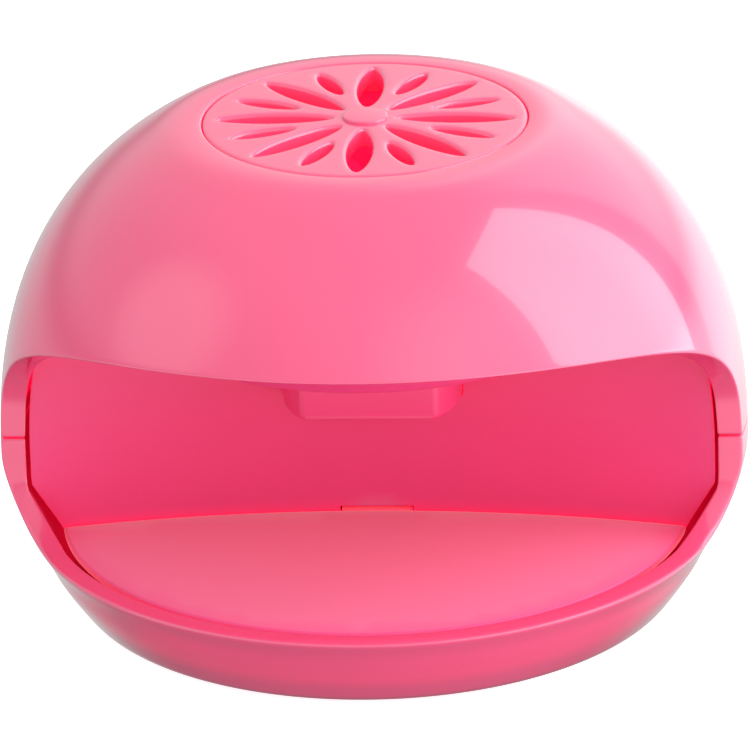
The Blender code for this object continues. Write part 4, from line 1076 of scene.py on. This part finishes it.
def motor_cover():
    """The pod under the dish: a cup with a flat front that carries the motor."""
    thickness = 1.6
    edge = 1.0
    outer, inner = pod_outline(0.0), pod_outline(thickness)
    rows = []
    for k in range(6):
        angle = math.pi / 2 * k / 5
        rows.append((pod_outline(edge * (1 - math.sin(angle))), POD_Z + edge * (1 - math.cos(angle))))
    top = POD_HIGH.z
    rows += [(outer, top - 0.2), (pod_outline(0.2), top), (pod_outline(thickness - 0.2), top),
             (inner, top - 0.2), (inner, POD_Z + thickness + 0.3),
             (pod_outline(thickness + 0.3), POD_Z + thickness)]
    count = len(outer)
    columns = np.array([[(*loop[i], z) for loop, z in rows] for i in range(count)])
    cup = grid_piece("motor_cover", columns, False)
    height = top - POD_Z
    posts, holes = [], []
    for side in (-1, 1):
        x = side * COVER_SCREW_X
        posts.append(rod(f"post_{side}", (x, 0.0, POD_Z + 0.8), height - 0.8, 2.0))
        holes.append(rod(f"hole_{side}", (x, 0.0, top - 7.0), 9.0, 1.1, edge=0.0))
    for y in (-8.5, 8.5):
        posts.append(block("rib", (-5.0, y - 0.6, POD_Z + 0.8), (5.0, y + 0.6, POD_Z + 5.8), 0.2))
    holes.append(block("wire_gap", (-3.5, 10.0, POD_Z + 8.0), (3.5, 20.0, top + 2.0), 0.4))
    cut(cup, together("posts", posts), "UNION")
    cut(cup, together("holes", holes))
    dress(cup, "motor_cover", "inner_pink")


def fan_housing():
    """The duct between the ceiling panel and the grille."""
    low, high = span("fan_housing")
    outer = high.x
    inner = outer - 1.4
    profile = [(outer - 0.5, high.z), (outer, high.z), (outer, low.z), (inner, low.z),
               (inner, high.z), (outer - 0.5, high.z)]
    duct = turned("fan_housing", rounded(profile, [0.0, 0.3, 0.3, 0.3, 0.3, 0.0])[:-1], 128, closed=True)
    dress(duct, "fan_housing", "inner_pink", material="fan_pink")


def blade(name, angle, middle):
    """One fan blade: thin, twisted from root to tip and hollow on its lower side."""
    points = []
    spans, chords = 16, 12
    for i in range(spans + 1):
        share = i / spans
        radius = 6.2 + (HUB_HIGH_RADIUS - 6.2) * share
        pitch = math.radians(38.0 - 8.0 * share)
        half = 4.2 * (1.0 - 0.12 * share ** 4)
        if share > 0.9:
            half *= 1.0 - 3.0 * (share - 0.9)
        ring = []
        for k in range(2 * chords):
            turn = math.pi * 2 * k / (2 * chords)
            chord = math.cos(turn)
            thick = 0.48 * math.sin(turn) * (1.0 - 0.55 * chord)
            camber = 0.7 * (1.0 - chord * chord)
            along_chord, up = chord * half, camber + thick
            y = along_chord * math.cos(pitch) - up * math.sin(pitch)
            z = along_chord * math.sin(pitch) + up * math.cos(pitch)
            ring.append((radius, y, z - 0.35))
        points.append(ring)
    turn = Matrix.Translation((0.0, 0.0, middle)) @ Matrix.Rotation(math.radians(angle), 4, "Z")
    columns = np.array([[tuple(turn @ Vector(point)) for point in ring] for ring in zip(*points)])
    return grid_piece(name, columns, False)


def impeller():
    """The fan: a rounded hub on the motor's shaft and seven blades."""
    high = HUB_HIGH
    shaft_top = span("motor_shaft")[1].z
    hub_low = high.z - 9.0
    bore = 1.3
    bore_top = shaft_top + GAP
    profile = [(0.0, high.z), (4.5, high.z - 0.4), (6.6, high.z - 1.8), (7.0, high.z - 3.0),
               (7.0, hub_low), (bore, hub_low), (bore, bore_top), (0.0, bore_top)]
    fan = turned("impeller", rounded(profile, [0.0, 1.2, 0.9, 0.6, 0.4, 0.15, 0.1, 0.0]), 96)
    middle = hub_low + 4.0
    blades = [blade(f"blade_{i}", 360.0 * i / 7, middle) for i in range(7)]
    cut(fan, together("blades", blades), "UNION")
    dress(fan, "impeller", "inner_pink", "fan_rotor", material="fan_pink")


def uv_leds():
    """Six clear LEDs with domed tips and a flange."""
    for i, angle in enumerate(LED_ANGLES):
        node_name = f"uv_led_{i + 1}"
        low, high = span(node_name)
        x, y = polar(LED_RING_RADIUS, angle)
        flange = high.z - 0.9
        radius = 2.5
        dome = arc((0.0, low.z + radius), radius, 0.0, -90.0, 12)
        profile = [(0.0, high.z), (3.0, high.z), (3.2, high.z - 0.2), (3.2, flange), (radius, flange)]
        profile += [tuple(point) for point in dome[:-1]] + [(0.0, low.z)]
        led = turned(node_name, profile, 40, Matrix.Translation((x, y, 0.0)))
        dress(led, node_name, "led_clear")


def pan_screw(name, head_radius, head, radius, length, head_up=False):
    """A pan-head screw with a cross recess and a pointed, threaded shank."""
    low, high = span(name)
    middle = middle_of(name)
    seat_z = high.z - head if head_up else low.z + head
    crown = arc((0.0, head - head_radius * 1.35), head_radius * 1.35, 90.0, 48.0, 8)
    crown = [(r, min(z, head)) for r, z in crown if r < head_radius * 0.93]
    profile = crown + [(head_radius, head * 0.45), (head_radius, 0.0), (radius, 0.0)]
    turns = int(length / 0.55)
    for k in range(turns):
        z = -0.4 - k * (length - 0.4) / turns
        profile += [(radius, z), (radius * 0.8, z - 0.25)]
    profile += [(radius * 0.75, -length), (0.0, -length - radius)]
    flip = Matrix() if head_up else Matrix.Rotation(math.pi, 4, "X")
    matrix = Matrix.Translation((middle.x, middle.y, seat_z)) @ flip
    made = turned(name, profile, 32, matrix)
    half = Vector((head_radius, head_radius * 0.26, head * 0.9)) / 2
    for degrees in (20, 110):
        turn = Matrix.Rotation(math.radians(degrees), 4, "Z")
        place = matrix @ Matrix.Translation((0.0, 0.0, head)) @ turn
        cut(made, block("recess", -half, half, 0.0, place))
    dress(made, name, "steel")


def screws():
    for side in ("left", "right", "rear"):
        pan_screw("shell_screw_" + side, 2.4, 1.8, 1.2, 28.0)
    for i in range(3):
        pan_screw(f"ceiling_screw_{i + 1}", 2.0, 1.2, 0.85, 6.5)
    for side in ("left", "right"):
        pan_screw("cover_screw_" + side, 1.7, 1.1, 0.75, 7.0, True)


def feet():
    for corner in FEET:
        name = "foot_" + corner
        low, high = span(name)
        middle = middle_of(name)
        radius = (high.x - low.x) / 2
        profile = [(0.0, high.z), (radius, high.z), (radius, 0.5), (radius - 0.5, 0.0),
                   (radius - 1.3, 0.0), (radius - 1.5, 0.15), (0.0, 0.15)]
        foot = turned(name, rounded(profile, [0.0, 0.2, 0.25, 0.15, 0.1, 0.1, 0.0]), 48,
                      Matrix.Translation((middle.x, middle.y, 0.0)))
        dress(foot, name, "rubber_foot")


def battery_door():
    """The cover under the cells, with stub pins, stiffening ribs, grip lines and a notch."""
    top = BASE_Z + 1.8
    low = (-23.5, DOOR_LOW.y, BASE_Z)
    high = (23.5, DOOR_HIGH.y, top)
    door = block("battery_door", low, high, 0.3)
    added = [rod("pins", (-25.0, DOOR_HINGE.y, DOOR_HINGE.z), 50.0, 0.6, "X")]
    for y in (18.6, 29.4):
        added.append(block("rib", (-18.0, y - 0.5, top - 0.3), (18.0, y + 0.5, top + 0.7), 0.15))
    cut(door, together("added", added), "UNION")
    taken = [block("notch", (-5.0, 38.0, -1.0), (5.0, 43.0, BASE_Z + 0.9), 0.4)]
    for k in range(4):
        y = 30.2 + 1.7 * k
        taken.append(block("grip", (-7.0, y, -1.0), (7.0, y + 0.8, BASE_Z + 0.35), 0.12))
    cut(door, together("taken", taken))
    dress(door, "battery_door", "shell_pink", "battery_door")


def plate_springs():
    """Coil springs under the plate."""
    for name in SPRINGS:
        low, high = span(name)
        middle = middle_of(name)
        wire = 0.35
        turns = 5.0
        route = []
        for i in range(int(turns * 24) + 1):
            turn = i / 24
            share = min(max((turn - 0.9) / (turns - 1.8), 0.0), 1.0)
            rise = 0.75 * min(turn, 0.9) / 0.9 + 0.75 * max(turn - turns + 0.9, 0.0) / 0.9
            height = low.z + wire + rise + (high.z - low.z - 2 * wire - 1.5) * share
            x, y = polar(3.1, 360.0 * turn)
            route.append((middle.x + x, middle.y + y, height))
        spring = pipe(name, route, wire, 10)
        dress(spring, name, "steel")
        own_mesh(spring)


# ---------------------------------------------------------------- camera, light and floor
def floor():
    """The white table, lit a little from within so that it fades into the background."""
    size = 3000.0
    points = [(-size, -size, 0.0), (size, -size, 0.0), (size, size, 0.0), (-size, size, 0.0)]
    obj = new_piece("floor", points, [[0, 1, 2, 3]])
    material, tree, shader = new_material("floor_white")
    base = mixed(tree, noise(tree, 3.0, 2.0), solid((0.90, 0.90, 0.90)), solid((0.92, 0.92, 0.92)))
    feed(shader, {"Base Color": base, "Roughness": 0.85, "Specular IOR Level": 0.1,
                  "Emission Color": (1.0, 1.0, 1.0, 1.0), "Emission Strength": 0.8})
    obj.data.materials.append(material)
    obj.visible_diffuse = False
    obj.visible_glossy = False
    obj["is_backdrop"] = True


def lamp_place(x, y, z):
    return Vector((x, y + AXIS_Y, z)) * MM


def area_light(name, place, target, width, height, power):
    data = bpy.data.lights.new(name, "AREA")
    data.shape = "RECTANGLE"
    data.size = width * MM
    data.size_y = height * MM
    data.energy = power
    obj = bpy.data.objects.new(name, data)
    obj.location = lamp_place(*place)
    aim = lamp_place(*target) - obj.location
    obj.rotation_euler = aim.to_track_quat("-Z", "Y").to_euler()
    bpy.context.scene.collection.objects.link(obj)
    return obj


def camera():
    """A long lens from a little above, turned slightly toward the lamp's right."""
    elevation = math.radians(22.05)
    azimuth = math.radians(4.0)
    roll = math.radians(-1.74)
    distance = 1500.0
    target = Vector((0.37, 0.0, EQUATOR_Z + 11.2))
    away = Vector((math.sin(azimuth) * math.cos(elevation), -math.cos(azimuth) * math.cos(elevation),
                   math.sin(elevation)))
    data = bpy.data.cameras.new("camera")
    data.lens = 411.8
    data.sensor_width = 36.0
    data.clip_start = 0.05
    data.clip_end = 20.0
    obj = bpy.data.objects.new("camera", data)
    obj.location = lamp_place(*(target + away * distance))
    facing = (-away).to_track_quat("-Z", "Y")
    obj.rotation_euler = (facing @ Matrix.Rotation(roll, 3, "Z").to_quaternion()).to_euler()
    bpy.context.scene.collection.objects.link(obj)
    bpy.context.scene.camera = obj


SKY = {
    "sky": 0.7,
    "zenith": 0.1,
    "low_front": 1.15,
    "low_back": 0.62,
    "nadir": 0.2,
    "back_right": 0.6,
    "lobe_left": 0.64,
    "side_right": 0.6,
    "low_right": 0.7,
}


def sky(tree):
    """Strength of the white studio round the lamp: soft bands of direction, summed."""
    where = tree.nodes.new("ShaderNodeTexCoord")
    x, y, z = node(tree, "SeparateXYZ", {"Vector": where.outputs["Generated"]}).node.outputs

    def along(*direction):
        """How far the looked-at direction goes along the given one."""
        shares = [calculated(tree, "MULTIPLY", axis, value) for axis, value in zip((x, y, z), direction)]
        return calculated(tree, "ADD", calculated(tree, "ADD", shares[0], shares[1]), shares[2])

    low = [ramp(tree, z, 0.1, -0.1), ramp(tree, z, -0.8, -0.45)]
    bands = {
        "sky": [ramp(tree, z, -0.1, 0.25)],
        "zenith": [ramp(tree, z, 0.5, 0.95)],
        "low_front": low + [ramp(tree, y, 0.15, -0.15)],
        "low_back": low + [ramp(tree, y, -0.15, 0.15)],
        "low_right": low + [ramp(tree, x, 0.2, 0.8)],
        "nadir": [ramp(tree, z, -0.45, -0.8)],
        "back_right": [ramp(tree, along(-0.695, 0.719, 0.0), -0.02, 0.04), ramp(tree, x, -0.1, 0.1),
                       ramp(tree, z, -0.5, -0.25), ramp(tree, z, 0.95, 0.7)],
        "lobe_left": [ramp(tree, along(-0.84, -0.21, 0.5), 0.9, 0.99)],
        "side_right": [ramp(tree, along(0.75, -0.6, 0.28), 0.6, 0.95)],
    }
    total = None
    for name, factors in bands.items():
        value = factors[0]
        for factor in factors[1:]:
            value = calculated(tree, "MULTIPLY", value, factor)
        value = calculated(tree, "MULTIPLY", value, SKY[name])
        value.node.name = "band_" + name
        total = value if total is None else calculated(tree, "ADD", total, value)
    return total


def studio():
    """White studio: a soft sky, a tall panel on the right and a soft box over the camera."""
    scene = bpy.context.scene
    scene.view_settings.view_transform = "Standard"
    world = bpy.data.worlds.new("studio")
    scene.world = world
    world.use_nodes = True
    tree = world.node_tree
    tree.links.new(sky(tree), tree.nodes["Background"].inputs["Strength"])
    tree.nodes["Background"].inputs["Color"].default_value = (1.0, 1.0, 1.0, 1.0)
    area_light("panel_right", (1200.0, 94.0, 1200.0), (0.0, 94.0, 1200.0), 1282.0, 2600.0, 27.5)
    box = area_light("front_high", (200.0, -1000.0, 900.0), (0.0, 0.0, 40.0), 900.0, 900.0, 2.6)
    box.visible_glossy = False
    floor()


dress_cad_nodes()
upper_shell()
lower_shell()
top_grille()
press_plate()
back_wall()
ceiling_panel()
motor_cover()
fan_housing()
impeller()
uv_leds()
screws()
feet()
battery_door()
plate_springs()
studio()
camera()

boxes = {"cad": cad_box, "visual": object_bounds()}
{key: [list(corner) for corner in box] for key, box in boxes.items()}
